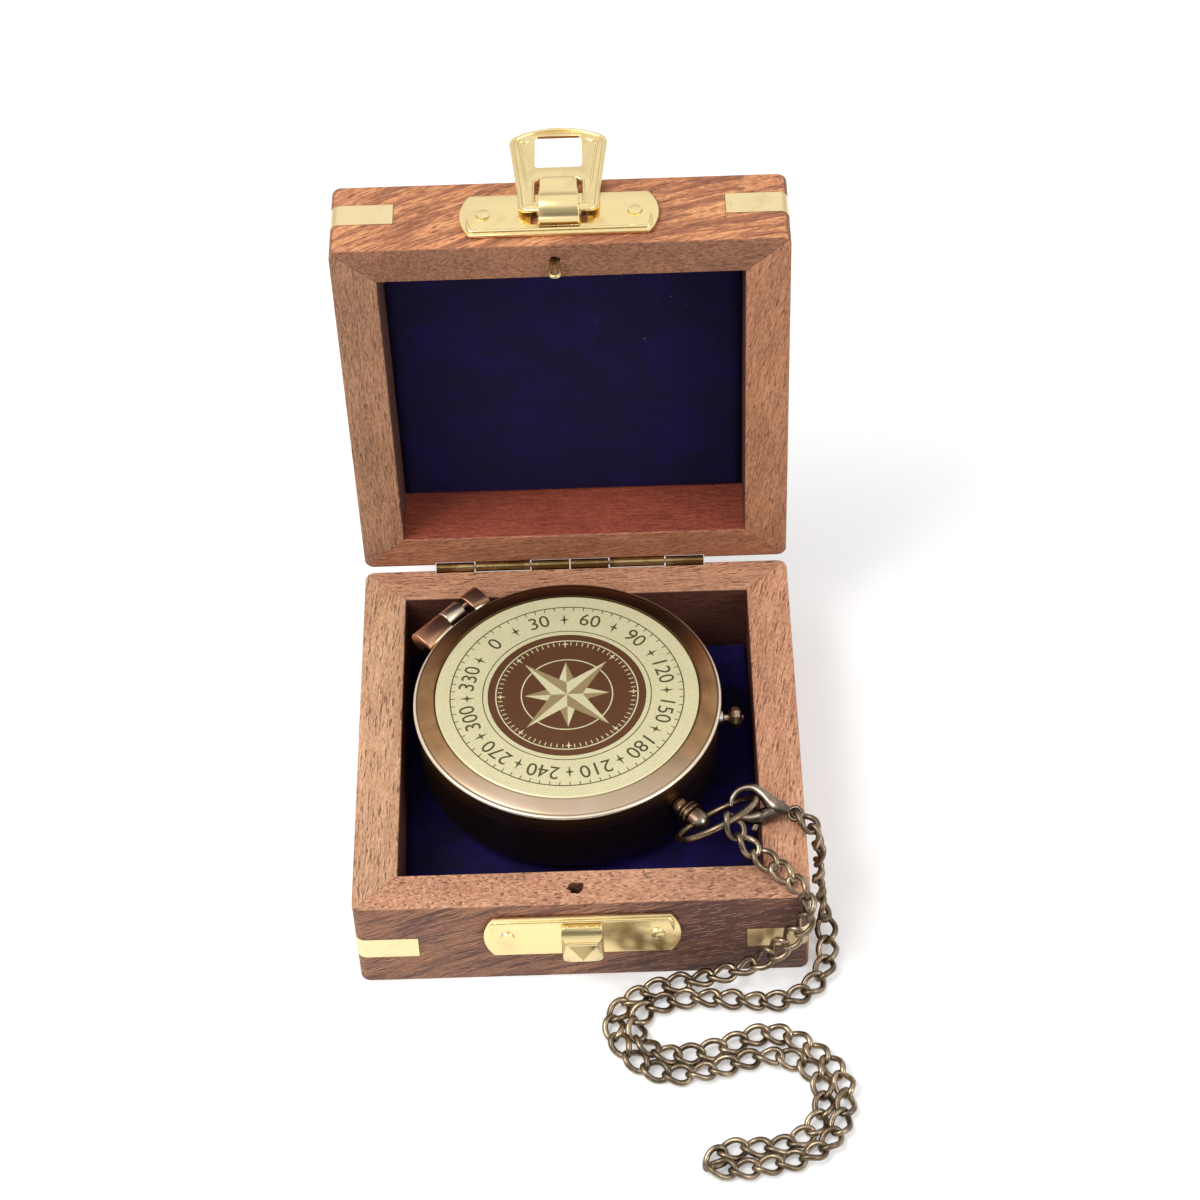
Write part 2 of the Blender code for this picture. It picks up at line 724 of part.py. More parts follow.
def hasp():
    """The stamped frame, drawn upright against the lid with its bar on the pivot, then tipped back."""
    notch = window(NOTCH_WIDTH, HASP_BAR / 2, NOTCH_END)
    opening = window(WINDOW_WIDTH, WINDOW_START, WINDOW_END)
    frame = soften(slab(hasp_outline(), HASP_THICKNESS, (notch, opening)), HASP_BEVEL)
    frame.matrix_world = Matrix.Translation(HASP_AXIS) @ Matrix.Rotation(math.radians(90), 4, "X")
    reach = HASP_ROOT_WIDTH / 2 - 0.0014
    low, high = Vector((-reach, 0, 0)), Vector((reach, 0, 0))
    room = block(
        HASP_AXIS + Vector((-NOTCH_WIDTH / 2, -HASP_THICKNESS, -2 * HASP_HEEL)),
        HASP_AXIS + Vector((NOTCH_WIDTH / 2, HASP_THICKNESS, HASP_BAR)),
    )
    cut(frame, room)
    fuse(frame, rod(HASP_AXIS + low, HASP_AXIS + high, HASP_BAR / 2, 16))
    return part(frame, "hasp", "bright_brass")


def latch_catch():
    """The hooked catch: its face rises to a ridge, and its top edge is scalloped."""
    half, tall = CATCH_WIDTH / 2, CATCH_HEIGHT / 2
    bm = bmesh.new()
    bmesh.ops.create_cube(bm, size=1)
    bmesh.ops.scale(bm, vec=(CATCH_WIDTH, CATCH_HEIGHT, CATCH_OUT), verts=bm.verts)
    bmesh.ops.translate(bm, vec=(0, 0, CATCH_OUT / 2), verts=bm.verts)
    for vert in bm.verts:
        if vert.co.z > CATCH_OUT / 2:
            above = vert.co.y > 0
            vert.co.y = tall * (0.55 if above else -0.80)
            vert.co.x *= 0.94
            vert.co.z = CATCH_OUT * (0.62 if above else 0.45)
    front = max(bm.faces, key=lambda face: face.calc_center_median().z)
    crown = bmesh.ops.poke(bm, faces=[front])["verts"][0]
    crown.co = (0, tall * 0.05, CATCH_OUT)
    body = stand_up(mesh_object(bm), CATCH_Z, GAP + PLATE_THICKNESS + GAP)
    top = CATCH_Z + tall
    for x in (-0.55, 0, 0.55):
        place = LATCH_X + x * half
        groove = rod(
            (place, BASE_FRONT - CATCH_OUT * 2, top + 0.0007),
            (place, BASE_FRONT, top + 0.0007),
            CATCH_WIDTH * 0.115,
        )
        cut(body, groove)
    return part(body, "base_catch", "bright_brass")


def locating_loop():
    """A bent wire whose two legs stand in the lid's rim."""
    low = LID_LOW - LOOP_OUT + LOOP_WIRE / 2 + LOOP_HALF_WIDTH
    bend = arc((0, low), LOOP_HALF_WIDTH, 180, 360, 7)
    legs = [(-LOOP_HALF_WIDTH, LID_LOW + LOOP_LEG), *bend, (LOOP_HALF_WIDTH, LID_LOW + LOOP_LEG)]
    y = BASE_FRONT + LOOP_FROM_FRONT
    wire = tube([(LOOP_X + x, y, z) for x, z in legs], [LOOP_WIRE / 2] * len(legs))
    return part(wire, "locating_loop", "aged_brass")


def loop_rooms(base_front, lid_front):
    """The slot that holds the loop's legs, and the hole that takes the loop when the box is closed."""
    y = BASE_FRONT + LOOP_FROM_FRONT
    across, deep = LOOP_HALF_WIDTH + LOOP_WIRE / 2 + GAP, LOOP_WIRE / 2 + GAP
    low = (LOOP_X - across, y - deep, LID_LOW - GAP)
    cut(lid_front, block(low, (LOOP_X + across, y + deep, LID_LOW + LOOP_LEG + GAP)))
    bottom = BASE_HEIGHT - LOOP_HOLE_DEPTH
    cut(base_front, rod((LOOP_X, y, bottom), (LOOP_X, y, BASE_HEIGHT + GAP), LOOP_HOLE / 2, 16))


def build_base():
    """The fixed half of the box."""
    walls = boards("base", 0, BASE_HEIGHT)
    part(inner_block(0, PANEL), "base_bottom", "hardwood")
    pad = inner_block(PANEL + GAP, BASE_LINING_TOP)
    part(soften(pad, 0.0006), "base_velvet", "velvet")
    corner_inlays("base", walls, BASE_INLAY_Z)
    plate = latch_plate(BASE_PLATE_Z, BASE_PLATE_Z + PLATE_HEIGHT / 2 - BEAD_INSET)
    part(plate, "base_latch_plate", "bright_brass")
    latch_nails("base_latch", walls["front"], BASE_PLATE_Z)
    latch_catch()
    return walls


def build_lid(base_walls):
    """The swinging half of the box, with the hinges that carry it."""
    hinge = carrier("box_lid_hinge", Matrix.Translation(HINGE_AXIS))
    walls = boards("lid", LID_LOW, LID_TOP)
    pieces = list(walls.values())
    pieces.append(part(inner_block(LID_TOP - PANEL, LID_TOP), "lid_top", "hardwood"))
    pad = inner_block(LID_LOW + LID_LINING_DEPTH, LID_TOP - PANEL - GAP)
    pieces.append(part(soften(pad, 0.0006), "lid_velvet", "velvet"))
    pieces += corner_inlays("lid", walls, LID_LOW + LID_INLAY_RISE)
    pieces.append(lid_latch_plate())
    pieces += latch_nails("lid_latch", walls["front"], LID_LOW + LID_PLATE_RISE)
    pieces.append(locating_loop())
    loop_rooms(base_walls["front"], walls["front"])
    for side, middle in zip(("left", "right"), HINGE_CENTRES):
        hinge_leaf(f"hinge_{side}_base_leaf", middle, False)
        pieces.append(hinge_leaf(f"hinge_{side}_lid_leaf", middle, True))
        hinge_room(base_walls["back"], middle, False)
        hinge_room(walls["back"], middle, True)
        x0, x1 = middle - HINGE_LENGTH / 2, middle + HINGE_LENGTH / 2
        pin = rod((x0, *HINGE_AXIS.yz), (x1, *HINGE_AXIS.yz), HINGE_PIN / 2)
        part(pin, f"hinge_{side}_pin", "steel")
    for piece in pieces:
        ride(piece, hinge)
    pivot = carrier("hasp_pivot", Matrix.Translation(HASP_AXIS))
    ride(hasp(), pivot)
    pivot.rotation_euler.x = -HASP_DROOP
    ride(pivot, hinge)
    hinge.rotation_euler.x = -LID_OPEN


# Compass


def about(bearing):
    """A turn about the compass's own axis."""
    return Matrix.Rotation(bearing, 4, "Z")


def lie_out(bearing, height):
    """Lays a shape turned about Z along a radius of the compass, at this height."""
    return about(bearing) @ Matrix.Translation((0, 0, height)) @ Matrix.Rotation(math.radians(90), 4, "Y")


def radial_rod(start, end, radius, bearing, height, sides=12, end_radius=None):
    obj = rod((start, 0, height), (end, 0, height), radius, sides, end_radius)
    obj.matrix_world = about(bearing) @ obj.matrix_basis
    return obj


def case():
    """The case as a turned cup with a ledge, plus the lug that carries its hinge knuckle."""
    round_foot = arc((CASE_FOOT_RADIUS, 0.0064), CASE_WALL_RADIUS - CASE_FOOT_RADIUS, 0, -90, 7)
    lift = round_foot[-1][1]
    foot = [(r, (z - lift) * 0.0064 / (0.0064 - lift)) for r, z in round_foot]
    profile = [
        (0, CASE_FLOOR),
        (CASE_LEDGE_BORE, CASE_FLOOR),
        (CASE_LEDGE_BORE, CARD_Z - GAP),
        (CASE_BORE, CARD_Z - GAP),
        (CASE_BORE, CASE_HEIGHT),
        (CASE_RADIUS, CASE_HEIGHT),
        (CASE_RADIUS, CASE_HEIGHT - CASE_RIM),
        (CASE_WALL_RADIUS, CASE_HEIGHT - CASE_RIM - CASE_RIM_CHAMFER),
        *foot,
        (0, 0),
    ]
    cup = turned(profile)
    inside = CASE_RADIUS + 2 * GAP
    axis = (HINGE_REACH, LID_AXIS_Z)
    lug = [(CASE_WALL_RADIUS - 0.0005, CASE_HEIGHT - 0.0068), (HINGE_REACH - 0.0012, CASE_HEIGHT - 0.0052)]
    lug += [(HINGE_REACH + LID_BARREL / 2 - 0.0003, CASE_HEIGHT)]
    lug += arc(axis, LID_BARREL / 2, 0, 180, 9)
    lug += [(inside, CASE_HEIGHT + 0.0014), (inside, CASE_HEIGHT - 0.0004), (CASE_WALL_RADIUS - 0.0005, CASE_HEIGHT - 0.0008)]
    start = -LID_KNUCKLE_SPAN / 2 + LID_LONG_KNUCKLE + GAP
    arm = slab(lug, CASE_KNUCKLE)
    arm.matrix_world = knuckle_place(start + CASE_KNUCKLE / 2)
    fuse(cup, arm)
    cut(cup, hinge_bore())
    cut(cup, radial_rod(CASE_WALL_RADIUS - 0.0026 - GAP, CASE_RADIUS, STEM_SPIGOT + GAP, STEM_BEARING, STEM_Z))
    cut(cup, radial_rod(catch_reach(), CASE_RADIUS, SHAFT_RADIUS + GAP, 0, BUTTON_Z))
    low = (catch_reach() - CATCH_STRIP - GAP, -CATCH_STRIP_WIDTH / 2 - GAP, CASE_HEIGHT - POCKET_DEPTH)
    high = (catch_reach() + GAP, CATCH_STRIP_WIDTH / 2 + GAP, CASE_HEIGHT + GAP)
    cut(cup, block(low, high))
    return part(cup, "compass_case", "case_bronze")


def catch_reach():
    """How far out the outer face of the lid catch's strip stands."""
    return CASE_RADIUS - LID_WALL - 4 * GAP - 0.0004


def knuckle_place(along):
    """Where a slab drawn in radius and height stands, this far along the compass's hinge."""
    return about(HINGE_BEARING) @ Matrix(((1, 0, 0, 0), (0, 0, -1, -along), (0, 1, 0, 0), (0, 0, 0, 1)))


def hinge_line(start, end, radius, sides=16):
    """A rod on the compass's hinge axis between two places along it."""
    obj = rod((HINGE_REACH, -start, LID_AXIS_Z), (HINGE_REACH, -end, LID_AXIS_Z), radius, sides)
    obj.matrix_world = about(HINGE_BEARING) @ obj.matrix_basis
    return obj


def hinge_bore():
    return hinge_line(-LID_KNUCKLE_SPAN, LID_KNUCKLE_SPAN, LID_BORE / 2, 12)


def card():
    outer = CASE_BORE - GAP
    hole = PIVOT_RADIUS + GAP
    top = CARD_Z + CARD_THICKNESS
    ring = turned([(hole, top), (outer, top), (outer, CARD_Z), (hole, CARD_Z)])
    return part(ring, "compass_card", "printed_card")


def pivot_height():
    """Where the pivot's point stands."""
    return CARD_Z + CARD_THICKNESS + 0.0033


def pivot():
    low = CASE_FLOOR + GAP
    neck = CARD_Z + CARD_THICKNESS + 0.0006
    profile = [(0, pivot_height()), (PIVOT_RADIUS, neck), (PIVOT_RADIUS, low + 0.0010)]
    profile += [(PIVOT_FLANGE, low + 0.0010), (PIVOT_FLANGE, low), (0, low)]
    return part(turned(profile, 16), "compass_pivot", "steel")


def needle():
    """A diamond needle with a domed cup that sits on the pivot's point."""
    half, wide = NEEDLE_LENGTH / 2, NEEDLE_WIDTH / 2
    blade = slab([(half, 0), (0, wide), (-half, 0), (0, -wide)], NEEDLE_THICKNESS)
    seat = pivot_height()
    base = seat - 0.0009
    blade.location.z = base + NEEDLE_THICKNESS
    dome = [(0, base + CUP_HEIGHT), (CUP_RADIUS * 0.6, base + CUP_HEIGHT * 0.88), (CUP_RADIUS, base + CUP_HEIGHT * 0.4)]
    cup = turned(dome + [(CUP_RADIUS, base), (0, base)], 16)
    fuse(blade, cup)
    neck = CARD_Z + CARD_THICKNESS + 0.0006
    slope = PIVOT_RADIUS / (seat - neck)
    hollow_top = seat + GAP
    hollow_low = base - GAP
    cut(blade, rod((0, 0, hollow_low), (0, 0, hollow_top), slope * (hollow_top - hollow_low) + GAP, 12, 0.00005))
    return part(blade, "compass_needle", "steel")


def card_stack():
    """The ring that spaces the glass off the card, the glass, and the ring that keeps it in."""
    outer = CASE_BORE - GAP
    inner = outer - SPACER_WALL
    low = CARD_Z + CARD_THICKNESS + GAP
    top = low + SPACER_HEIGHT
    spacer = turned([(inner - 0.0006, top), (outer, top), (outer, low), (inner - 0.0012, low)])
    part(spacer, "spacer_ring", "aged_brass")
    glass_low = top + GAP
    glass_top = glass_low + GLASS_THICKNESS
    pane = turned([(0, glass_top), (outer, glass_top), (outer, glass_low), (0, glass_low)])
    part(pane, "compass_glass", "glass")
    low = glass_top + GAP
    top = low + RETAINER_HEIGHT
    ring = turned([(inner, top - 0.0003), (inner + 0.0004, top), (outer, top), (outer, low), (inner, low)])
    part(ring, "retaining_ring", "aged_brass")
    return ("spacer_ring", "compass_glass", "retaining_ring")


def lid_low():
    """The lower edge of the compass's lid."""
    return CASE_HEIGHT + GAP


def lid_shell():
    """The domed lid as a turned cup, open below and recessed above, run out into two knuckles."""
    low = lid_low()
    top = low + COMPASS_LID_HEIGHT
    seat = top - DISC_THICKNESS - GAP
    bead = arc((CASE_RADIUS - LID_BEAD, top - 0.0017), LID_BEAD, 100, -70, 7)
    inner = CASE_RADIUS - 0.0004 - LID_WALL
    profile = [
        (0, seat),
        (DISC_RADIUS + GAP, seat),
        (DISC_RADIUS + GAP, top - 0.0001),
        (DISC_RADIUS + 0.0008, top),
        (DISC_RADIUS + 0.0024, top - 0.0003),
        (CASE_RADIUS - 0.0016, top - 0.0010),
        *bead,
        (CASE_RADIUS - 0.0004, top - 0.0028),
        (CASE_RADIUS - 0.0004, low + 0.0010),
        (CASE_RADIUS, low + 0.0006),
        (CASE_RADIUS, low),
        (inner, low),
        (inner, seat - LID_SKIN - 0.0010),
        (inner - 0.0010, seat - LID_SKIN),
        (0, seat - LID_SKIN),
    ]
    shell = turned(profile)
    half = LID_KNUCKLE_SPAN / 2
    spans = ((-half, -half + LID_LONG_KNUCKLE), (half - LID_SHORT_KNUCKLE, half))
    radius = LID_BARREL / 2
    axis = (HINGE_REACH, LID_AXIS_Z)
    web = [(CASE_RADIUS - 0.0012, LID_AXIS_Z + 0.0002), *arc(axis, radius, 180, 450, 14), (CASE_RADIUS - 0.0016, top - 0.0012)]
    for start, end in spans:
        knuckle = slab(web, end - start)
        knuckle.matrix_world = knuckle_place((start + end) / 2)
        fuse(shell, knuckle)
    cut(shell, hinge_bore())
    return part(shell, "compass_lid", "case_bronze")


def lid_disc():
    top = lid_low() + COMPASS_LID_HEIGHT
    low = top - DISC_THICKNESS
    disc = turned([(0, top), (DISC_RADIUS - 0.0002, top), (DISC_RADIUS, top - 0.0002), (DISC_RADIUS, low), (0, low)])
    return part(disc, "compass_lid_disc", "printed_disc")


def lid_catch():
    """A spring strip in the case wall whose nose stands just inside the lid's lip."""
    outer = catch_reach()
    inner = outer - CATCH_STRIP
    low = CASE_HEIGHT - POCKET_DEPTH + GAP
    top = CASE_HEIGHT + 0.0024
    nose = [(inner, low), (outer, low), (outer, top - 0.0012), (outer + 0.0003, top - 0.0009)]
    nose += [(outer + 0.0003, top - 0.0003), (outer, top), (inner, top)]
    strip = slab(nose, CATCH_STRIP_WIDTH)
    strip.matrix_world = Matrix(((1, 0, 0, 0), (0, 0, -1, 0), (0, 1, 0, 0), (0, 0, 0, 1)))
    return part(strip, "lid_catch", "steel")


def button_sleeve():
    start = CASE_WALL_RADIUS + GAP
    bore = SHAFT_RADIUS + GAP
    profile = [(bore, start + SLEEVE_OUT), (SLEEVE_RADIUS - 0.0003, start + SLEEVE_OUT)]
    profile += [(SLEEVE_RADIUS, start + SLEEVE_OUT - 0.0003), (SLEEVE_RADIUS, start), (bore, start)]
    sleeve = turned(profile, 20)
    sleeve.matrix_world = lie_out(0, BUTTON_Z)
    return part(sleeve, "button_sleeve", "aged_brass")


def button():
    """A shaft with a faceted bulb, pushed towards the case."""
    inner = CASE_WALL_RADIUS - SHAFT_INSIDE
    middle = (BULB_START + BULB_END) / 2
    profile = [
        (0, BULB_END + TIP_OUT),
        (BUTTON_TIP, BULB_END + TIP_OUT),
        (BUTTON_TIP, BULB_END),
        (BULB_RADIUS * 0.62, BULB_END),
        (BULB_RADIUS, middle + 0.0005),
        (BULB_RADIUS, middle - 0.0005),
        (BULB_RADIUS * 0.55, BULB_START),
        (SHAFT_RADIUS, BULB_START),
        (SHAFT_RADIUS, inner),
        (0, inner),
    ]
    knob = turned(profile, 8)
    knob.matrix_world = lie_out(0, BUTTON_Z)
    return part(knob, "push_button", "aged_brass")


def stem():
    """The stem screwed into the case: flange, neck, grooved collar and the cup that the bow passes through."""
    start = CASE_WALL_RADIUS + GAP
    root = CASE_WALL_RADIUS - STEM_SPIGOT_DEPTH
    end = BOW_HOLE_REACH + 0.0025
    profile = [
        (0, end),
        (STEM_BALL * 0.55, end - 0.0003),
        (STEM_BALL * 0.88, end - 0.0012),
        (STEM_BALL, end - 0.0026),
        (STEM_BALL, end - 0.0043),
        (STEM_COLLAR, end - 0.0043),
        (STEM_COLLAR, end - 0.0049),
        (STEM_COLLAR - 0.0005, end - 0.0051),
        (STEM_COLLAR - 0.0005, end - 0.0054),
        (STEM_COLLAR, end - 0.0056),
        (STEM_COLLAR, end - 0.0062),
        (STEM_NECK, end - 0.0068),
        (STEM_NECK, start + 0.0012),
        (STEM_FLANGE, start + 0.0008),
        (STEM_FLANGE, start),
        (STEM_SPIGOT, start),
        (STEM_SPIGOT, root),
        (0, root),
    ]
    post = turned(profile, 20)
    post.matrix_world = lie_out(STEM_BEARING, STEM_Z)
    centre = bow_hole()
    across = bow_axis() * 2 * STEM_COLLAR
    rise = bow_up() * (BOW_HOLE - BOW_WIRE / 2) / 3
    cut(post, rod(centre + rise - across, centre + rise + across, BOW_HOLE, 12))
    return part(post, "bow_stem", "case_bronze")


def bow_hole():
    """The middle of the stem's hole, in the compass's frame."""
    return about(STEM_BEARING) @ Vector((BOW_HOLE_REACH, 0, STEM_Z))


def bow_axis():
    """The line through the stem's hole that the bow swings about."""
    return Vector((-math.sin(BOW_TURN), math.cos(BOW_TURN), 0))


def bow_up():
    """The direction from the stem's hole across the bow."""
    level = math.cos(BOW_LEAN)
    return Vector((math.cos(BOW_TURN) * level, math.sin(BOW_TURN) * level, math.sin(BOW_LEAN)))


def bow_ring():
    centre = bow_hole() + bow_up() * BOW_RADIUS
    count = 32
    points = []
    for i in range(count):
        angle = 2 * math.pi * i / count
        points.append(centre + BOW_RADIUS * (math.cos(angle) * bow_up() + math.sin(angle) * bow_axis()))
    return part(tube(points, [BOW_WIRE / 2] * count, cyclic=True), "bow_ring", "chain_bronze")


def compass_hinge_pin():
    half = LID_KNUCKLE_SPAN / 2
    return part(hinge_line(-half, half, LID_PIN / 2), "compass_hinge_pin", "steel")


def build_compass():
    """The compass and its lid. Every piece is drawn in the compass's own frame."""
    frame = carrier("compass_frame", Matrix.Translation(COMPASS_ORIGIN))
    fixed = [case(), card(), pivot(), needle(), lid_catch(), button_sleeve(), button(), stem(), compass_hinge_pin()]
    fixed += [bpy.data.objects[name] for name in card_stack()]
    for piece in fixed:
        ride(piece, frame, keep_place=False)
    hinge_spot = about(HINGE_BEARING) @ Vector((HINGE_REACH, 0, LID_AXIS_Z))
    for name, spot, pieces in (
        ("compass_lid_hinge", hinge_spot, (lid_shell(), lid_disc())),
        ("bow_pivot", bow_hole(), (bow_ring(),)),
    ):
        empty = carrier(name, Matrix.Translation(spot))
        for piece in pieces:
            ride(piece, empty)
        empty.parent = frame


# Clasp


def clasp_frame():
    """The clasp's own axes: X from its eye to its hook, Y across to its trigger."""
    along = Vector((math.cos(CLASP_BEARING), math.sin(CLASP_BEARING), 0))
    level = Vector((0, 0, 1)).cross(along)
    across = level * math.cos(CLASP_TILT) - Vector((0, 0, 1)) * math.sin(CLASP_TILT)
    normal = along.cross(across)
    turn = Matrix((along, across, normal)).transposed().to_4x4()
    return Matrix.Translation(COMPASS_ORIGIN + bow_hole() + EYE_FROM_BOW_HOLE) @ turn


def clasp_body():
    """The eye and the tapering hook, slotted for the trigger."""
    hook = [
        ((0.0014, 0.0, 0), 0.0008),
        ((0.0033, -0.0001, 0), 0.0014),
        ((0.0050, -0.0001, 0), 0.0017),
        ((0.0069, -0.0010, 0), 0.00135),
        ((0.0089, -0.0021, 0), 0.0010),
        ((0.0110, -0.0026, 0), 0.0009),
        ((0.0129, -0.0020, 0), 0.0008),
        ((0.0143, -0.0006, 0), 0.0007),
        ((0.0149, 0.0012, 0), 0.0006),
        ((0.0147, 0.0028, 0), 0.0005),
    ]
    body = tube([point for point, _ in hook], [radius for _, radius in hook], resolution=1)
    count = 16
    turns = [2 * math.pi * i / count for i in range(count)]
    eye = tube(
        [(EYE_RADIUS * math.cos(a), EYE_RADIUS * math.sin(a), 0) for a in turns],
        [EYE_WIRE / 2] * count,
        cyclic=True,
    )
    room = TRIGGER_THICKNESS / 2 + GAP / 2
    x, y = TRIGGER_AXIS
    clear = TRIGGER_EYE + GAP
    cut(body, rod((x, y, -0.003), (x, y, 0.003), TRIGGER_BORE / 2, 10))
    cut(body, block((x - clear, y - clear, -room), (x + clear + 2 * GAP, y + 0.004, room)))
    fuse(body, eye)
    for modifier in body.modifiers:
        modifier.solver = "MANIFOLD"
    return part(body, "clasp_body", "chain_bronze")


def clasp_trigger():
    """The lever that closes the hook, with its thumb piece."""
    x, y = TRIGGER_AXIS
    half = TRIGGER_THICKNESS / 2
    lever = [
        ((x, y, 0), 0.00095),
        ((0.0070, 0.0024, 0), 0.0010),
        ((0.0090, 0.0038, 0), 0.00095),
        ((0.0111, 0.0045, 0), 0.00075),
        ((0.0128, 0.0043, 0), 0.0005),
    ]
    arm = tube([point for point, _ in lever], [radius for _, radius in lever], resolution=1)
    thumb = tube([(0.0072, 0.0030, 0), (0.0076, 0.0046, 0), (0.0080, 0.0062, 0)], [0.0007, 0.0007, 0.00055], resolution=1)
    fuse(arm, thumb)
    reach = TRIGGER_EYE + 2 * GAP
    for side in (-1, 1):
        low, high = sorted((side * half, side * 3 * half))
        cut(arm, block((x - reach, y - 2 * reach, low), (x + reach, y + 2 * reach, high)))
    fuse(arm, rod((x, y, -half), (x, y, half), TRIGGER_EYE, 14))
    cut(arm, rod((x, y, -0.003), (x, y, 0.003), TRIGGER_BORE / 2, 10))
    return part(arm, "clasp_trigger", "chain_bronze")


def build_clasp():
    frame = carrier("clasp_frame", clasp_frame())
    x, y = TRIGGER_AXIS
    pin = rod((x, y, -0.0013), (x, y, 0.0013), TRIGGER_PIN / 2, 10)
    for piece in (clasp_body(), part(pin, "trigger_pin", "steel")):
        ride(piece, frame, keep_place=False)
    hinge = carrier("trigger_hinge", Matrix.Translation((x, y, 0)))
    ride(clasp_trigger(), hinge)
    hinge.parent = frame


# Chain


def smooth_route(points, steps):
    """Points on a Catmull-Rom curve through the route's own points."""
    points = [2 * points[0] - points[1], *points, 2 * points[-1] - points[-2]]
    made = []
    for i in range(1, len(points) - 2):
        a, b, c, d = points[i - 1 : i + 3]
        for step in range(steps):
            t = step / steps
            made.append(
                0.5 * (2 * b + (c - a) * t + (2 * a - 5 * b + 4 * c - d) * t**2 + (3 * b - a - 3 * c + d) * t**3)
            )
    made.append(points[-2])
    return made


def chain_route():
    """The route's points, from the bow over the box's corner to the clasp."""
    bow = COMPASS_ORIGIN + bow_hole()
    corner = Vector((BOX_WIDTH / 2, BASE_FRONT, 0))
    points = [bow + Vector(offset) for offset in ROUTE_FROM_BOW]
    points += [corner + Vector(offset) for offset in ROUTE_OVER_CORNER]
    return points + [bow + Vector(offset) for offset in ROUTE_TO_CLASP]


def paced(points, pitch):
    """Places along the route a whole number of equal steps apart, each step about one pitch."""
    lengths = [0.0]
    for first, second in zip(points, points[1:]):
        lengths.append(lengths[-1] + (second - first).length)
    count = round(lengths[-1] / pitch)
    made = []
    index = 0
    for step in range(count + 1):
        wanted = lengths[-1] * step / count
        while index < len(lengths) - 2 and lengths[index + 1] < wanted:
            index += 1
        share = (wanted - lengths[index]) / (lengths[index + 1] - lengths[index])
        made.append(points[index].lerp(points[index + 1], share))
    print(f"chain: {count} links on a route of {lengths[-1] * 1000:.1f} mm")
    return made


def link_mesh():
    """One curb link along X: an oval of wire twisted about its own length."""
    along = (LINK_LENGTH - LINK_WIRE) / 2
    across = (LINK_WIDTH - LINK_WIRE) / 2
    points = []
    for i in range(LINK_POINTS):
        angle = 2 * math.pi * (i + 0.5) / LINK_POINTS
        twist = LINK_TWIST * math.cos(angle)
        side = across * math.sin(angle)
        points.append((along * math.cos(angle), side * math.cos(twist), side * math.sin(twist)))
    obj = tube(points, [LINK_WIRE / 2] * LINK_POINTS, cyclic=True, resolution=0)
    mesh = obj.data
    bpy.data.objects.remove(obj)
    return mesh


def facing(place, along):
    """Which way a link's flat side looks: up on level runs, and off the box's side on steep ones."""
    off = Vector((1, 0, 0)) if place.x > BOX_WIDTH / 2 + LINK_WIRE else Vector((0, -1, 0))
    steep = min(max((abs(along.z) - 0.35) / 0.4, 0), 1)
    return (Vector((0, 0, 1)) * (1 - steep) + off * steep).normalized()


def build_chain():
    """Curb links along the route, every second one in one set, and the two sets fused."""
    mesh = link_mesh()
    places = paced(smooth_route(chain_route(), 12), LINK_PITCH)
    sets = [bmesh.new(), bmesh.new()]
    for i, (start, end) in enumerate(zip(places, places[1:])):
        along = (end - start).normalized()
        side = facing((start + end) / 2, along).cross(along).normalized()
        turn = Matrix((along, side, along.cross(side))).transposed().to_4x4()
        turn = turn @ Matrix.Rotation(FIRST_ROLL * max(0, 1 - i / ROLLED_LINKS), 4, "X")
        group = sets[i % 2]
        group.from_mesh(mesh)
        fresh = group.verts[-len(mesh.vertices) :]
        bmesh.ops.transform(group, matrix=Matrix.Translation((start + end) / 2) @ turn, verts=fresh)
    chain, others = (mesh_object(group) for group in sets)
    fuse(chain, others)
    chain.modifiers[0].solver = "MANIFOLD"
    part(chain, "chain", "chain_bronze")


def shade_round():
    for obj in PARTS.objects:
        if obj.type == "MESH":
            obj.data.shade_smooth()
            obj.data.set_sharp_from_angle(angle=math.radians(35))


clear_scene()
build_lid(build_base())
build_compass()
build_clasp()
build_chain()
shade_round()
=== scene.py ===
"""A pocket compass lying in its open velvet-lined box, its bow held by a clasp on a long curb chain.
The sections follow the object as it is put together: the view and the table first, then the chain
and clasp, the box and its fittings, the lining, and last the compass itself. Metres, +Z up.
"""

import math

import bmesh
import bpy
from mathutils import Matrix, Vector, noise


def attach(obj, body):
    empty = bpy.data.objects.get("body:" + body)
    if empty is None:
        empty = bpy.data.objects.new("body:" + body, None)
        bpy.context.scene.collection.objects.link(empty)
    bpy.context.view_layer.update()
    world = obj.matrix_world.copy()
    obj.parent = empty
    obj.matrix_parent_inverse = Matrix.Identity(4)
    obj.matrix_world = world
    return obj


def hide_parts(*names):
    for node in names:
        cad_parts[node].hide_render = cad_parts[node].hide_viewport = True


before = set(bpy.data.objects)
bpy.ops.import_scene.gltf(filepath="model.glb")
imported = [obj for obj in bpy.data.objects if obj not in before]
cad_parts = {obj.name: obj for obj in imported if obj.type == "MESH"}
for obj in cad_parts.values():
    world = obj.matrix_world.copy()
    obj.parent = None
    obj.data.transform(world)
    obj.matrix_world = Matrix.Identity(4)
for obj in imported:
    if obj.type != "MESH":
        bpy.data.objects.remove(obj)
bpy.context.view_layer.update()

# The view: the photograph's own standpoint, a long lens above and in front of the box, held a
# little out of level. The frame is square.

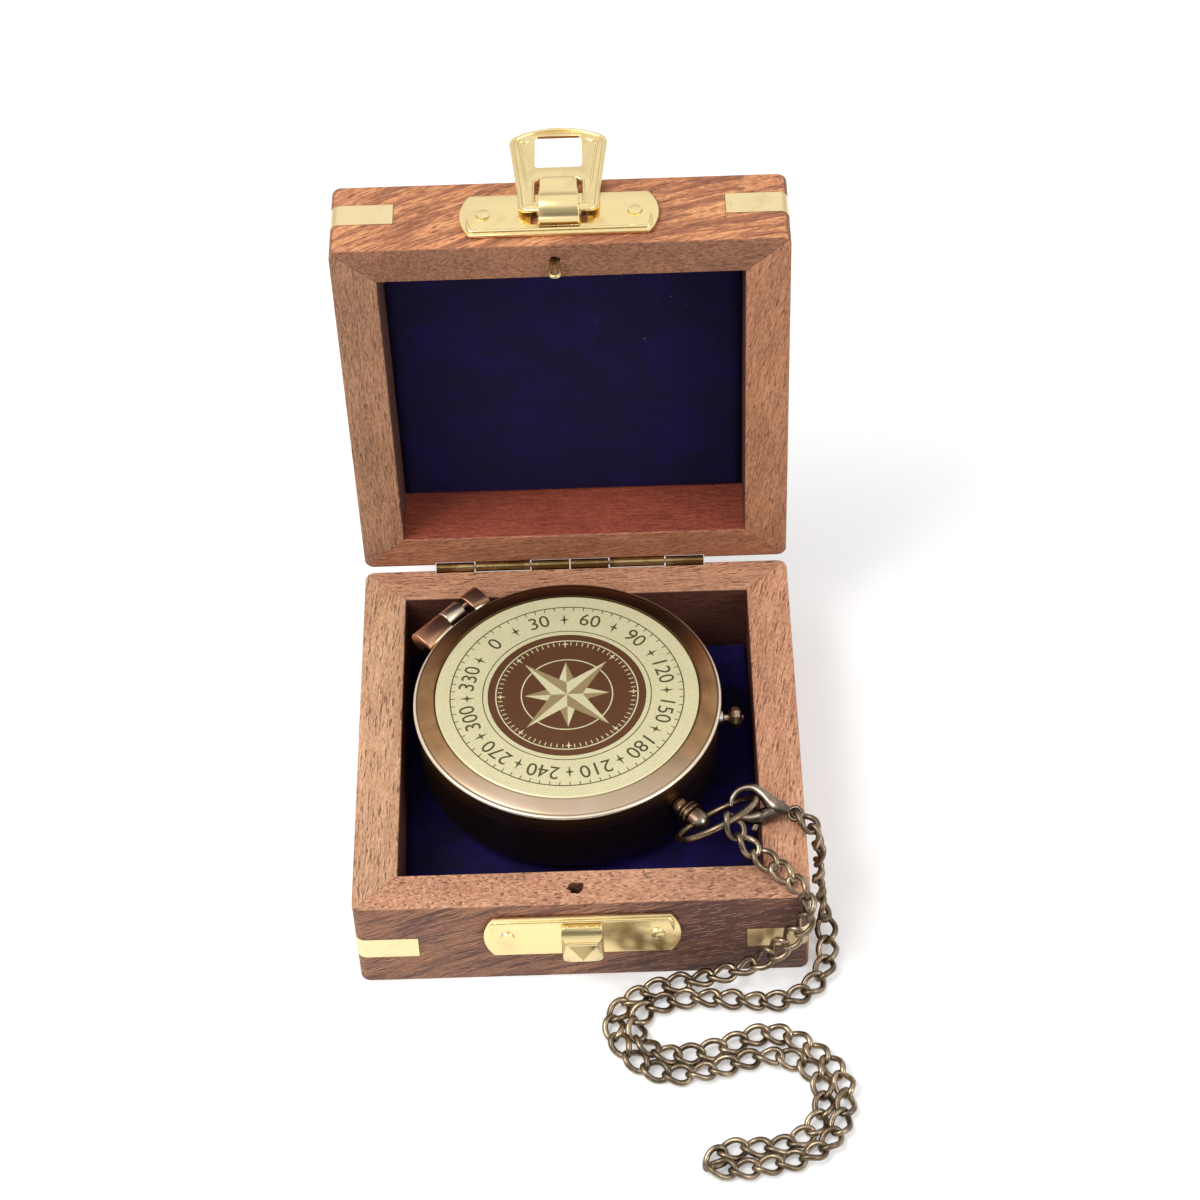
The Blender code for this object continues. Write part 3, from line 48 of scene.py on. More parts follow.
SPOT = Vector((0.014372, -0.486469, 0.607107))
BEARING, DIP, TILT = math.radians(-0.94869), math.radians(47.8196), math.radians(-2.5116)
ahead = Vector((math.sin(BEARING) * math.cos(DIP), math.cos(BEARING) * math.cos(DIP), -math.sin(DIP)))
level = ahead.cross(Vector((0, 0, 1))).normalized()
upright = level.cross(ahead)
across = math.cos(TILT) * level + math.sin(TILT) * upright
upward = math.cos(TILT) * upright - math.sin(TILT) * level
lens = bpy.data.cameras.new("camera")
lens.sensor_width = 36
lens.lens = 98.25
lens.clip_start = 0.05
camera = bpy.data.objects.new("camera", lens)
turn = Matrix((across, upward, -ahead)).transposed().to_4x4()
camera.matrix_world = Matrix.Translation(SPOT) @ turn
bpy.context.scene.collection.objects.link(camera)
bpy.context.scene.camera = camera
bpy.context.scene.view_settings.view_transform = "Standard"

# The table and the light: a plain white top that keeps the object's soft shadow, under a pale
# room, one broad soft panel high on the left and a smaller one low on the right.


class Wire:
    """One output of a material's nodes, so that its maths reads as an expression."""

    def __init__(self, tree, socket=None):
        self.tree = tree
        self.socket = socket

    def node(self, kind, settings=None, inputs=None, output=0):
        """Any node: its own settings first, then what each of its sockets holds or is fed by."""
        made = self.tree.nodes.new("ShaderNode" + kind)
        for name, value in (settings or {}).items():
            setattr(made, name, value)
        for name, value in (inputs or {}).items():
            if isinstance(value, Wire):
                self.tree.links.new(value.socket, made.inputs[name])
            else:
                made.inputs[name].default_value = value
        return Wire(self.tree, made.outputs[output])

    def maths(self, operation, first, second=0.0, third=0.0):
        return self.node("Math", {"operation": operation}, {0: first, 1: second, 2: third})

    def __add__(self, other):
        return self.maths("ADD", self, other)

    def __sub__(self, other):
        return self.maths("SUBTRACT", self, other)

    def __rsub__(self, other):
        return self.maths("SUBTRACT", other, self)

    def __mul__(self, other):
        return self.maths("MULTIPLY", self, other)

    def __truediv__(self, other):
        return self.maths("DIVIDE", self, other)

    def __pow__(self, other):
        return self.maths("POWER", self, other)

    __radd__ = __add__
    __rmul__ = __mul__

    def size(self):
        return self.maths("ABSOLUTE", self)

    def ease(self, low, high):
        """0 below low and 1 above high, with a soft change between."""
        settings = {"interpolation_type": "SMOOTHSTEP"}
        return self.node("MapRange", settings, {0: self, 1: low, 2: high})

    def mix(self, first, second):
        """The second colour over the first, by this much."""
        return self.node("Mix", {"data_type": "RGBA"}, {0: self, 6: first, 7: second}, 2)

    def parts(self):
        made = self.node("SeparateXYZ", {}, {0: self})
        return [Wire(self.tree, socket) for socket in made.socket.node.outputs]


def begin(name):
    """A new material with no nodes yet."""
    material = bpy.data.materials.new(name)
    material.use_nodes = True
    material.node_tree.nodes.clear()
    return material, Wire(material.node_tree)


def end(wire, shader, kind="Material"):
    made = wire.tree.nodes.new("ShaderNodeOutput" + kind)
    wire.tree.links.new(shader.socket, made.inputs["Surface"])


material, wire = begin("white_table")
path = wire.node("LightPath")
seen = [
    Wire(wire.tree, path.socket.node.outputs[name])
    for name in ("Is Camera Ray", "Is Glossy Ray", "Is Transmission Ray")
]
shown = wire.maths("MINIMUM", seen[0] + seen[1] + seen[2], 1.0)
plain = wire.node("BsdfDiffuse", {}, {"Color": (0.86, 0.86, 0.86, 1)})
bright = wire.node("Emission", {}, {"Color": (1, 1, 1, 1), "Strength": 0.28})
both = wire.node("AddShader", {}, {0: plain, 1: bright})
end(wire, wire.node("MixShader", {}, {0: shown, 1: plain, 2: both}))
bm = bmesh.new()
bmesh.ops.create_grid(bm, x_segments=1, y_segments=1, size=2.5)
bmesh.ops.translate(bm, vec=(0, 0, -0.00002), verts=bm.verts)
mesh = bpy.data.meshes.new("table_top")
bm.to_mesh(mesh)
bm.free()
mesh.materials.append(material)
table_top = bpy.data.objects.new("table_top", mesh)
bpy.context.scene.collection.objects.link(table_top)

world = bpy.data.worlds.new("pale_room")
bpy.context.scene.world = world
world.use_nodes = True
world.node_tree.nodes.clear()
wire = Wire(world.node_tree)
path = wire.node("LightPath")
camera_ray = Wire(wire.tree, path.socket.node.outputs["Is Camera Ray"])
glossy_ray = Wire(wire.tree, path.socket.node.outputs["Is Glossy Ray"])
toward = wire.node("TexCoord", {}, {}, "Generated").parts()
# Gloss sees a white ceiling over dimmer walls, dimmest on the near side, so that round metal
# shows its form.
near_side = (toward[1] * -1.0).ease(0.25, 0.80)
near_side = near_side * (1.0 - toward[2].ease(0.50, 0.78))
room = (0.62 + 0.38 * toward[2].ease(0.20, 0.62)) * (1.0 - 0.68 * near_side)
shown_colour = camera_ray.mix(glossy_ray.mix((0.62, 0.62, 0.62, 1), (1, 1, 1, 1)), (1, 1, 1, 1))
brightness = wire.maths("MAXIMUM", camera_ray, 1.0 - glossy_ray * (1.0 - room))
back = wire.node("Background", {}, {"Color": shown_colour, "Strength": brightness})
end(wire, back, "World")

for name, place, size, power, look in (
    ("panel_high_left", (-0.55, -0.25, 0.95), 0.55, 6.8, (0.0, 0.02, 0.03)),
    ("panel_low_right", (0.70, -0.45, 0.50), 0.40, 2.2, (0.0, 0.0, 0.03)),
):
    light = bpy.data.lights.new(name, "AREA")
    light.shape = "SQUARE"
    light.size = size
    light.energy = power
    lamp = bpy.data.objects.new(name, light)
    aim = (Vector(place) - Vector(look)).to_track_quat("Z", "Y").to_matrix().to_4x4()
    lamp.matrix_world = Matrix.Translation(place) @ aim
    bpy.context.scene.collection.objects.link(lamp)

# The chain: about a span and a half of fine curb links of round bronze wire, its first link on the
# bow and its last in the clasp's eye. It drops over the box's front right corner and lies doubled.

ROUTE = (
    (0.0331, -0.0347, 0.0359), (0.0362, -0.0389, 0.0321), (0.0396, -0.0414, 0.0301),
    (0.0432, -0.0440, 0.0291), (0.0470, -0.0478, 0.0286), (0.0502, -0.0520, 0.0272),
    (0.0500, -0.0541, 0.0230), (0.0474, -0.0543, 0.0180), (0.0444, -0.0543, 0.0134),
    (0.0405, -0.0542, 0.0088), (0.0358, -0.0542, 0.0056), (0.0308, -0.0542, 0.0040),
    (0.0256, -0.0544, 0.0030), (0.0200, -0.0549, 0.0021), (0.0148, -0.0561, 0.0017),
    (0.0102, -0.0584, 0.0017), (0.0063, -0.0621, 0.0017), (0.0050, -0.0670, 0.0017),
    (0.0070, -0.0724, 0.0017), (0.0112, -0.0778, 0.0017), (0.0172, -0.0814, 0.0017),
    (0.0240, -0.0818, 0.0017), (0.0310, -0.0800, 0.0017), (0.0376, -0.0776, 0.0017),
    (0.0440, -0.0775, 0.0017), (0.0492, -0.0806, 0.0017), (0.0508, -0.0856, 0.0017),
    (0.0498, -0.0912, 0.0017), (0.0462, -0.0956, 0.0017), (0.0400, -0.0974, 0.0017),
    (0.0334, -0.0976, 0.0017), (0.0276, -0.0996, 0.0017), (0.0256, -0.1024, 0.0017),
    (0.0276, -0.1052, 0.0017), (0.0336, -0.1060, 0.0017), (0.0410, -0.1052, 0.0017),
    (0.0482, -0.1036, 0.0017), (0.0540, -0.0996, 0.0017), (0.0572, -0.0936, 0.0017),
    (0.0588, -0.0868, 0.0017), (0.0572, -0.0802, 0.0017), (0.0524, -0.0744, 0.0017),
    (0.0462, -0.0700, 0.0017), (0.0398, -0.0682, 0.0017), (0.0334, -0.0706, 0.0017),
    (0.0264, -0.0724, 0.0017), (0.0200, -0.0732, 0.0017), (0.0144, -0.0716, 0.0017),
    (0.0114, -0.0674, 0.0017), (0.0136, -0.0628, 0.0017), (0.0192, -0.0607, 0.0017),
    (0.0260, -0.0602, 0.0017), (0.0330, -0.0600, 0.0017), (0.0400, -0.0598, 0.0017),
    (0.0462, -0.0588, 0.0017), (0.0516, -0.0562, 0.0017), (0.0547, -0.0514, 0.0017),
    (0.0553, -0.0456, 0.0022), (0.0551, -0.0400, 0.0040), (0.0549, -0.0366, 0.0084),
    (0.0547, -0.0352, 0.0140), (0.0547, -0.0342, 0.0205), (0.0545, -0.0333, 0.0258),
    (0.0526, -0.0319, 0.0289), (0.0490, -0.0299, 0.0296),
)
LINK_PITCH, LINK_LONG, LINK_WIDE, LINK_WIRE = 0.00515, 0.0075, 0.0055, 0.00137
LINK_TWIST = math.radians(45)
STRAND_GAP, STRAND_SHIFT, STRAND_SLACK = 0.0042, 0.0026, 0.022
LINK_STEPS = 28
CORNER_X = 0.0519


def smooth(points, steps):
    """Points on a smooth curve through the given ones."""
    spots = [Vector(p) for p in points]
    spots = [2 * spots[0] - spots[1], *spots, 2 * spots[-1] - spots[-2]]
    made = []
    for a, b, c, d in zip(spots, spots[1:], spots[2:], spots[3:]):
        for step in range(steps):
            t = step / steps
            bend, twist = 2 * a - 5 * b + 4 * c - d, 3 * b - a - 3 * c + d
            made.append(0.5 * (2 * b + (c - a) * t + bend * t**2 + twist * t**3))
    return made + [spots[-2]]


def paced(points, pitch):
    """Places along the points at equal steps of about one pitch."""
    lengths = [0.0]
    for first, second in zip(points, points[1:]):
        lengths.append(lengths[-1] + (second - first).length)
    count = round(lengths[-1] / pitch)
    made, index = [], 0
    for step in range(count + 1):
        wanted = lengths[-1] * step / count
        while index < len(lengths) - 2 and lengths[index + 1] < wanted:
            index += 1
        share = (wanted - lengths[index]) / (lengths[index + 1] - lengths[index])
        made.append(points[index].lerp(points[index + 1], share))
    return made


def wire_mesh(points, radii, closed=False, sides=12):
    """A bmesh of a round wire through the points, with a radius at each."""
    curve = bpy.data.curves.new("wire", "CURVE")
    curve.dimensions = "3D"
    curve.bevel_depth = max(radii)
    curve.bevel_resolution = max(sides // 2 - 2, 0)
    curve.use_fill_caps = True
    spline = curve.splines.new("POLY")
    spline.points.add(len(points) - 1)
    for spot, point, radius in zip(spline.points, points, radii):
        spot.co = (*point, 1)
        spot.radius = radius / max(radii)
    spline.use_cyclic_u = closed
    return curve_mesh(curve)


def curve_mesh(curve):
    """The curve turned into a welded bmesh."""
    holder = bpy.data.objects.new("holder", curve)
    bpy.context.scene.collection.objects.link(holder)
    bpy.context.view_layer.update()
    mesh = bpy.data.meshes.new_from_object(holder.evaluated_get(bpy.context.evaluated_depsgraph_get()))
    bpy.data.objects.remove(holder)
    bm = bmesh.new()
    bm.from_mesh(mesh)
    bpy.data.meshes.remove(mesh)
    bmesh.ops.remove_doubles(bm, verts=bm.verts, dist=0.0000005)
    bmesh.ops.recalc_face_normals(bm, faces=bm.faces)
    return bm


def piece(name, bm, material, body, nodes=(), sharp=40):
    """The bmesh made into a finished piece that rides on a body and stands for the CAD nodes."""
    mesh = bpy.data.meshes.new(name)
    bm.to_mesh(mesh)
    bm.free()
    mesh.shade_smooth()
    mesh.set_sharp_from_angle(angle=math.radians(sharp))
    mesh.materials.append(material)
    obj = bpy.data.objects.new(name, mesh)
    bpy.context.scene.collection.objects.link(obj)
    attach(obj, body)
    if nodes:
        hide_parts(*nodes)
    return obj


def clamp(share):
    return min(max(share, 0.0), 1.0)


def side_by_side(line):
    """The line with its two runs on the table drawn together, and its hanging end drawn in."""
    reach = [0.0]
    for first, second in zip(line, line[1:]):
        reach.append(reach[-1] + (second - first).length)
    shifts = []
    for i, spot in enumerate(line):
        others = [
            other
            for j, other in enumerate(line)
            if abs(reach[j] - reach[i]) > STRAND_SLACK and other.z < 0.004
        ]
        gap = min((other - spot for other in others), key=lambda away: away.length, default=Vector())
        near = spot.z < 0.004 and STRAND_GAP < gap.length < 0.014
        much = min((gap.length - STRAND_GAP) / 2, STRAND_SHIFT) if near else 0.0
        shifts.append(gap.normalized() * much)
    made = []
    for i, spot in enumerate(line):
        window = shifts[max(i - 18, 0) : i + 19]
        inward = 0.0011 * clamp(spot.z / 0.006 - 0.7) * clamp((spot.x - 0.052) / 0.0015)
        made.append(spot + sum(window, Vector()) / len(window) - Vector((inward, 0, 0)))
    return made


def speckle(wire, place, scale, detail, rough=0.5, warp=0.0):
    """Soft noise, its scale in waves to the metre."""
    inputs = {"Vector": place, "Scale": scale, "Detail": detail, "Roughness": rough, "Distortion": warp}
    return wire.node("TexNoise", {}, inputs)


def shade(colour, share=1.0):
    """The colour made lighter or darker, with its alpha."""
    return (*[min(c * share, 1) for c in colour], 1)


def surface(name):
    """A new material, its nodes and the place on the object."""
    material, wire = begin(name)
    return material, wire, wire.node("TexCoord", {}, {}, "Object")


def bumped(wire, strength, distance, height):
    return wire.node("Bump", {}, {"Strength": strength, "Distance": distance, "Height": height})


def principled(material, wire, inputs):
    """The material ended with one shader that takes these inputs."""
    end(wire, wire.node("BsdfPrincipled", {}, inputs))
    return material


def metallic(material, wire, colour, roughness, bump):
    inputs = {"Base Color": colour, "Metallic": 1.0, "Roughness": roughness, "Normal": bump}
    return principled(material, wire, inputs)


def worn_bronze(name, dark, rubbed, rough, wear=0.5):
    """Darkened bronze, brighter in soft patches where it is handled, with a fine brushed grain."""
    material, wire, place = surface(name)
    cloud = speckle(wire, place, 150.0, 4.0, 0.6)
    grit = speckle(wire, place, 2700.0, 3.0)
    handled = cloud.ease(0.42, 0.62) * wear
    colour = handled.mix(shade(dark), shade(rubbed))
    colour = (grit.ease(0.3, 0.8) * 0.35).mix(colour, shade(dark, 0.55))
    bump = bumped(wire, 0.25, 0.00004, grit)
    roughness = rough + 0.18 * grit - 0.1 * handled
    return metallic(material, wire, colour, roughness, bump)


chain_bronze = worn_bronze("chain_bronze", (0.178, 0.13, 0.086), (0.52, 0.405, 0.275), 0.27, wear=0.75)

link_points = []
for i in range(LINK_STEPS):
    angle = 2 * math.pi * i / LINK_STEPS
    lean = LINK_TWIST * math.cos(angle)
    side = (LINK_WIDE - LINK_WIRE) / 2 * math.sin(angle)
    end_on = (LINK_LONG - LINK_WIRE) / 2 * math.cos(angle)
    link_points.append((end_on, side * math.cos(lean), side * math.sin(lean)))
link = wire_mesh(link_points, [LINK_WIRE / 2] * LINK_STEPS, closed=True, sides=10)
link_form = bpy.data.meshes.new("link_form")
link.to_mesh(link_form)
link.free()

line = side_by_side(smooth(ROUTE, 12))
places = paced(line, LINK_PITCH)
bm = bmesh.new()
for i, (start, stop) in enumerate(zip(places, places[1:])):
    run = (stop - start).normalized()
    middle = (start + stop) / 2
    away = Vector((1, 0, 0)) if middle.x > CORNER_X else Vector((0, -1, 0))
    steep = clamp((abs(run.z) - 0.35) / 0.4)
    face = (Vector((0, 0, 1)) * (1 - steep) + away * steep).normalized()
    beside = face.cross(run).normalized()
    turn = Matrix((run, beside, run.cross(beside))).transposed().to_4x4()
    roll = 26 * noise.noise(Vector((i * 0.41, 2.0, 0.5)))
    roll += 34 * noise.noise(Vector((i * 1.37, 7.0, 0.5)))
    # The first links, which hang from the bow over the corner, are rolled to show their faces.
    hanging = clamp(i / 2 - 0.5) * clamp(5.5 - i / 2)
    roll = roll * min(i / 3, 1) * (1 - 0.6 * hanging) + 62 * hanging - 45 * max(0, 1 - i / 3)
    turn = turn @ Matrix.Rotation(math.radians(roll), 4, "X")
    before = len(bm.verts)
    bm.from_mesh(link_form)
    bm.verts.ensure_lookup_table()
    bmesh.ops.transform(bm, matrix=Matrix.Translation(middle) @ turn, verts=bm.verts[before:])
    sunk_by = min(vert.co.z for vert in bm.verts[before:])
    if sunk_by < 0:
        bmesh.ops.translate(bm, vec=(0, 0, -sunk_by), verts=bm.verts[before:])
bpy.data.meshes.remove(link_form)
chain = piece("curb_chain", bm, chain_bronze, "compass", ("chain",), 60)

# The clasp: a cast lobster clasp in a greyer, polished bronze. The eye takes the chain's last link,
# the tapering hook goes round the bow, and a sprung lever with a thumb spur closes it.

CLASP_EYE = Vector((0.0485, -0.0297, 0.0296))
bearing, slope = math.radians(155.5), math.radians(35)
out = Vector((math.cos(bearing), math.sin(bearing), 0))
flat = Vector((0, 0, 1)).cross(out) * math.cos(slope) - Vector((0, 0, 1)) * math.sin(slope)
clasp_place = Matrix.Translation(CLASP_EYE) @ Matrix((out, flat, out.cross(flat))).transposed().to_4x4()
clasp_bronze = worn_bronze("clasp_bronze", (0.14, 0.108, 0.082), (0.52, 0.44, 0.37), 0.22, wear=0.55)


def placed(bm, place):
    bmesh.ops.transform(bm, matrix=place, verts=bm.verts)
    return bm


def joined(*forms):
    """Several bmeshes in one."""
    whole = bmesh.new()
    for form in forms:
        mesh = bpy.data.meshes.new("form")
        form.to_mesh(mesh)
        form.free()
        whole.from_mesh(mesh)
        bpy.data.meshes.remove(mesh)
    return whole


def dress(node, material):
    """Gives a CAD solid that stays in view its material."""
    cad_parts[node].data.materials.clear()
    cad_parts[node].data.materials.append(material)


def tapered(points, steps, sides=16, flatten=1.0):
    """A wire through (point, radius) pairs, smoothed, and pressed flatter across its own plane."""
    line = smooth([point for point, _ in points], steps)
    widths = smooth([(radius, 0, 0) for _, radius in points], steps)
    bm = wire_mesh(line, [max(w.x, 0.0002) for w in widths], sides=sides)
    bmesh.ops.scale(bm, vec=(1, 1, flatten), verts=bm.verts)
    return bm


hook = tapered(
    [
        ((0.0014, 0.0, 0), 0.0009), ((0.0033, -0.0001, 0), 0.0015),
        ((0.005, -0.0001, 0), 0.0018), ((0.0069, -0.001, 0), 0.0015),
        ((0.0089, -0.0021, 0), 0.0011), ((0.011, -0.0026, 0), 0.00095),
        ((0.0129, -0.002, 0), 0.00085), ((0.0143, -0.0006, 0), 0.00075),
        ((0.0149, 0.0012, 0), 0.00065), ((0.0147, 0.0028, 0), 0.0005),
    ],
    5,
    flatten=0.86,
)
ring = wire_mesh(
    [
        (0.00145 * math.cos(math.tau * i / 32), 0.00145 * math.sin(math.tau * i / 32), 0)
        for i in range(32)
    ],
    [0.0005] * 32,
    closed=True,
)
hook = placed(joined(hook, ring), clasp_place)
clasp = piece("clasp_hook", hook, clasp_bronze, "compass", ("clasp_body",))

lever = tapered(
    [
        ((0.0038, 0.0006, 0), 0.0011), ((0.0054, 0.0016, 0), 0.0017),
        ((0.0071, 0.0029, 0), 0.0019), ((0.0089, 0.0039, 0), 0.0016),
        ((0.011, 0.0044, 0), 0.00115), ((0.0128, 0.0043, 0), 0.0007),
    ],
    5,
    sides=16,
    flatten=0.9,
)
spur = tapered(
    [
        ((0.0074, 0.0034, 0), 0.0009), ((0.0077, 0.005, 0), 0.00075),
        ((0.0079, 0.0063, 0), 0.0008), ((0.008, 0.0068, 0), 0.0005),
    ],
    5, 12,
)
lever = placed(joined(lever, spur), clasp_place)
trigger = piece("clasp_lever", lever, clasp_bronze, "trigger", ("clasp_trigger",))
dress("trigger_pin", clasp_bronze)

# The bow: a plain ring of round bronze wire through the stem's cross hole, leaning out over the
# box's front corner, where the clasp and the chain's first link hang from its far side.

BOW_HOLE, BOW_WIRE, BOW_RADIUS = Vector((0.02697, -0.02414, 0.021)), 0.0016, 0.00975
bow_axis = Vector((0.81106, 0.58496, 0))
bow_up = Vector((0.39894, -0.55315, 0.73135))
bow_points = []
for i in range(96):
    angle = math.tau * i / 96
    bow_points.append(
        BOW_HOLE + BOW_RADIUS * (bow_up + math.cos(angle) * bow_up + math.sin(angle) * bow_axis)
    )
bow_bronze = worn_bronze("bow_bronze", (0.2, 0.148, 0.09), (0.54, 0.43, 0.28), 0.22, wear=0.7)
bow = wire_mesh(bow_points, [BOW_WIRE / 2] * len(bow_points), closed=True)
piece("bow_wire", bow, bow_bronze, "bow", ("bow_ring",))

# The box: eight mitred hardwood boards, four to each half, with rounded outer corners and lightly
# eased rims. Each is let in for the corner strips, and the back ones for the hinges too.

BOX_X, BOX_Y = 0.0508, 0.0508
SIDE_WALL, END_WALL = 0.01, 0.0093
BASE_HIGH, LID_LOW, LID_TOP = 0.0267, 0.0273, 0.0491
CORNER_ROUND = 0.0022
HINGE_AXIS = Vector((0, 0.05122, 0.027))
to_hinge = Matrix.Translation(HINGE_AXIS)
lid_swing = to_hinge @ Matrix.Rotation(math.radians(-90), 4, "X") @ to_hinge.inverted()


def on_half(bm, half):
    """A piece where it is at rest: the lid's are swung open."""
    return placed(bm, lid_swing) if half == "lid" else bm


def round_corner(middle, radius, start, end, count=7):
    """Points on an arc, its angles in degrees."""
    angles = [math.radians(start + (end - start) * i / (count - 1)) for i in range(count)]
    return [(middle[0] + radius * math.cos(a), middle[1] + radius * math.sin(a)) for a in angles]


def only_verts(geometry):
    return [v for v in geometry if isinstance(v, bmesh.types.BMVert)]


def upright_slab(outline, low, high):
    """A flat outline raised from one height to another."""
    bm = bmesh.new()
    face = bm.faces.new([bm.verts.new((x, y, low)) for x, y in outline])
    top = bmesh.ops.extrude_face_region(bm, geom=[face])["geom"]
    bmesh.ops.translate(bm, vec=(0, 0, high - low), verts=only_verts(top))
    bmesh.ops.recalc_face_normals(bm, faces=bm.faces)
    return bm


def ease_edges(bm, edges, width, segments=3):
    bmesh.ops.bevel(
        bm, geom=edges, offset=width, segments=segments, profile=0.5, affect="EDGES", material=-1,
        clamp_overlap=True,
    )


def box_block(low, high):
    bm = bmesh.new()
    bmesh.ops.create_cube(bm, size=1)
    bmesh.ops.scale(bm, vec=Vector(high) - Vector(low), verts=bm.verts)
    bmesh.ops.translate(bm, vec=(Vector(low) + Vector(high)) / 2, verts=bm.verts)
    return bm


def round_bar(start, end, radius, sides=32):
    start, end = Vector(start), Vector(end)
    bm = bmesh.new()
    bmesh.ops.create_cone(
        bm, cap_ends=True, segments=sides, radius1=radius, radius2=radius,
        depth=(end - start).length,
    )
    turn = (end - start).to_track_quat("Z", "Y").to_matrix().to_4x4()
    return placed(bm, Matrix.Translation((start + end) / 2) @ turn)


def shaped(bm, others):
    """The bmesh after each of the others is cut from it."""
    holders = []
    for form in (bm, *others):
        mesh = bpy.data.meshes.new("holder")
        form.to_mesh(mesh)
        form.free()
        holders.append(bpy.data.objects.new("holder", mesh))
        bpy.context.scene.collection.objects.link(holders[-1])
    for other in holders[1:]:
        modifier = holders[0].modifiers.new("shape", "BOOLEAN")
        modifier.operation = "DIFFERENCE"
        modifier.object = other
        modifier.solver = "EXACT"
    bpy.context.view_layer.update()
    graph = bpy.context.evaluated_depsgraph_get()
    made = bmesh.new()
    made.from_mesh(bpy.data.meshes.new_from_object(holders[0].evaluated_get(graph)))
    for holder in holders:
        bpy.data.objects.remove(holder)
    bmesh.ops.remove_doubles(made, verts=made.verts, dist=0.0000005)
    return made


def board_plan(side):
    """The plan of one board: its outer edge with half of each rounded corner, and its mitred ends."""
    r, gap = CORNER_ROUND, 0.00006
    x, y = (BOX_X, BOX_Y) if side in ("front", "back") else (BOX_Y, BOX_X)
    thick, other = (END_WALL, SIDE_WALL) if side in ("front", "back") else (SIDE_WALL, END_WALL)
    outer = round_corner((-x + r, -y + r), r, -135, -90, 5)
    outer += round_corner((x - r, -y + r), r, -90, -45, 5)
    inner = [(x - other, -y + thick), (-x + other, -y + thick)]
    plan = [(px - gap if px > 0 else px + gap, py) for px, py in outer + inner]
    turn = Matrix.Rotation(math.radians({"front": 0, "right": 90, "back": 180, "left": -90}[side]), 2)
    return [tuple(turn @ Vector(point)) for point in plan]


def strip_plan(sign, grow, longer=0.0):
    """The plan of a brass strip bent round one front corner, grown on every side for its recess."""
    x, y, r = BOX_X + grow, BOX_Y + grow, CORNER_ROUND + grow
    deep = STRIP_DEEP + (0.00005 if longer else 0)
    near_x, near_y = -BOX_X + deep, -BOX_Y + deep
    reach = STRIP_REACH + longer
    plan = [(-x, -BOX_Y + reach)] + round_corner((-x + r, -y + r), r, 180, 270)
    plan += [(-BOX_X + reach, -y), (-BOX_X + reach, near_y)]
    plan += round_corner((near_x + STRIP_DEEP, near_y + STRIP_DEEP), STRIP_DEEP, 270, 180) + [
        (near_x, -BOX_Y + reach)
    ]
    return [(-sign * px, py) for px, py in plan]


STRIP_HALF, STRIP_DEEP, STRIP_REACH, STRIP_PLAY = 0.0032, 0.0012, 0.014, 0.00012
PANEL_THICK = 0.0047
STRIP_HEIGHTS = {"base": 0.0123, "lid": LID_LOW + 0.0122}
HINGE_MIDDLES, HINGE_RECESS_HALF, LEAF_TALL = (-0.0176, 0.0148), 0.01625, 0.0087
KNUCKLE_RADIUS = 0.0015
LOOP_SPOT = (-0.0012, -0.0464)


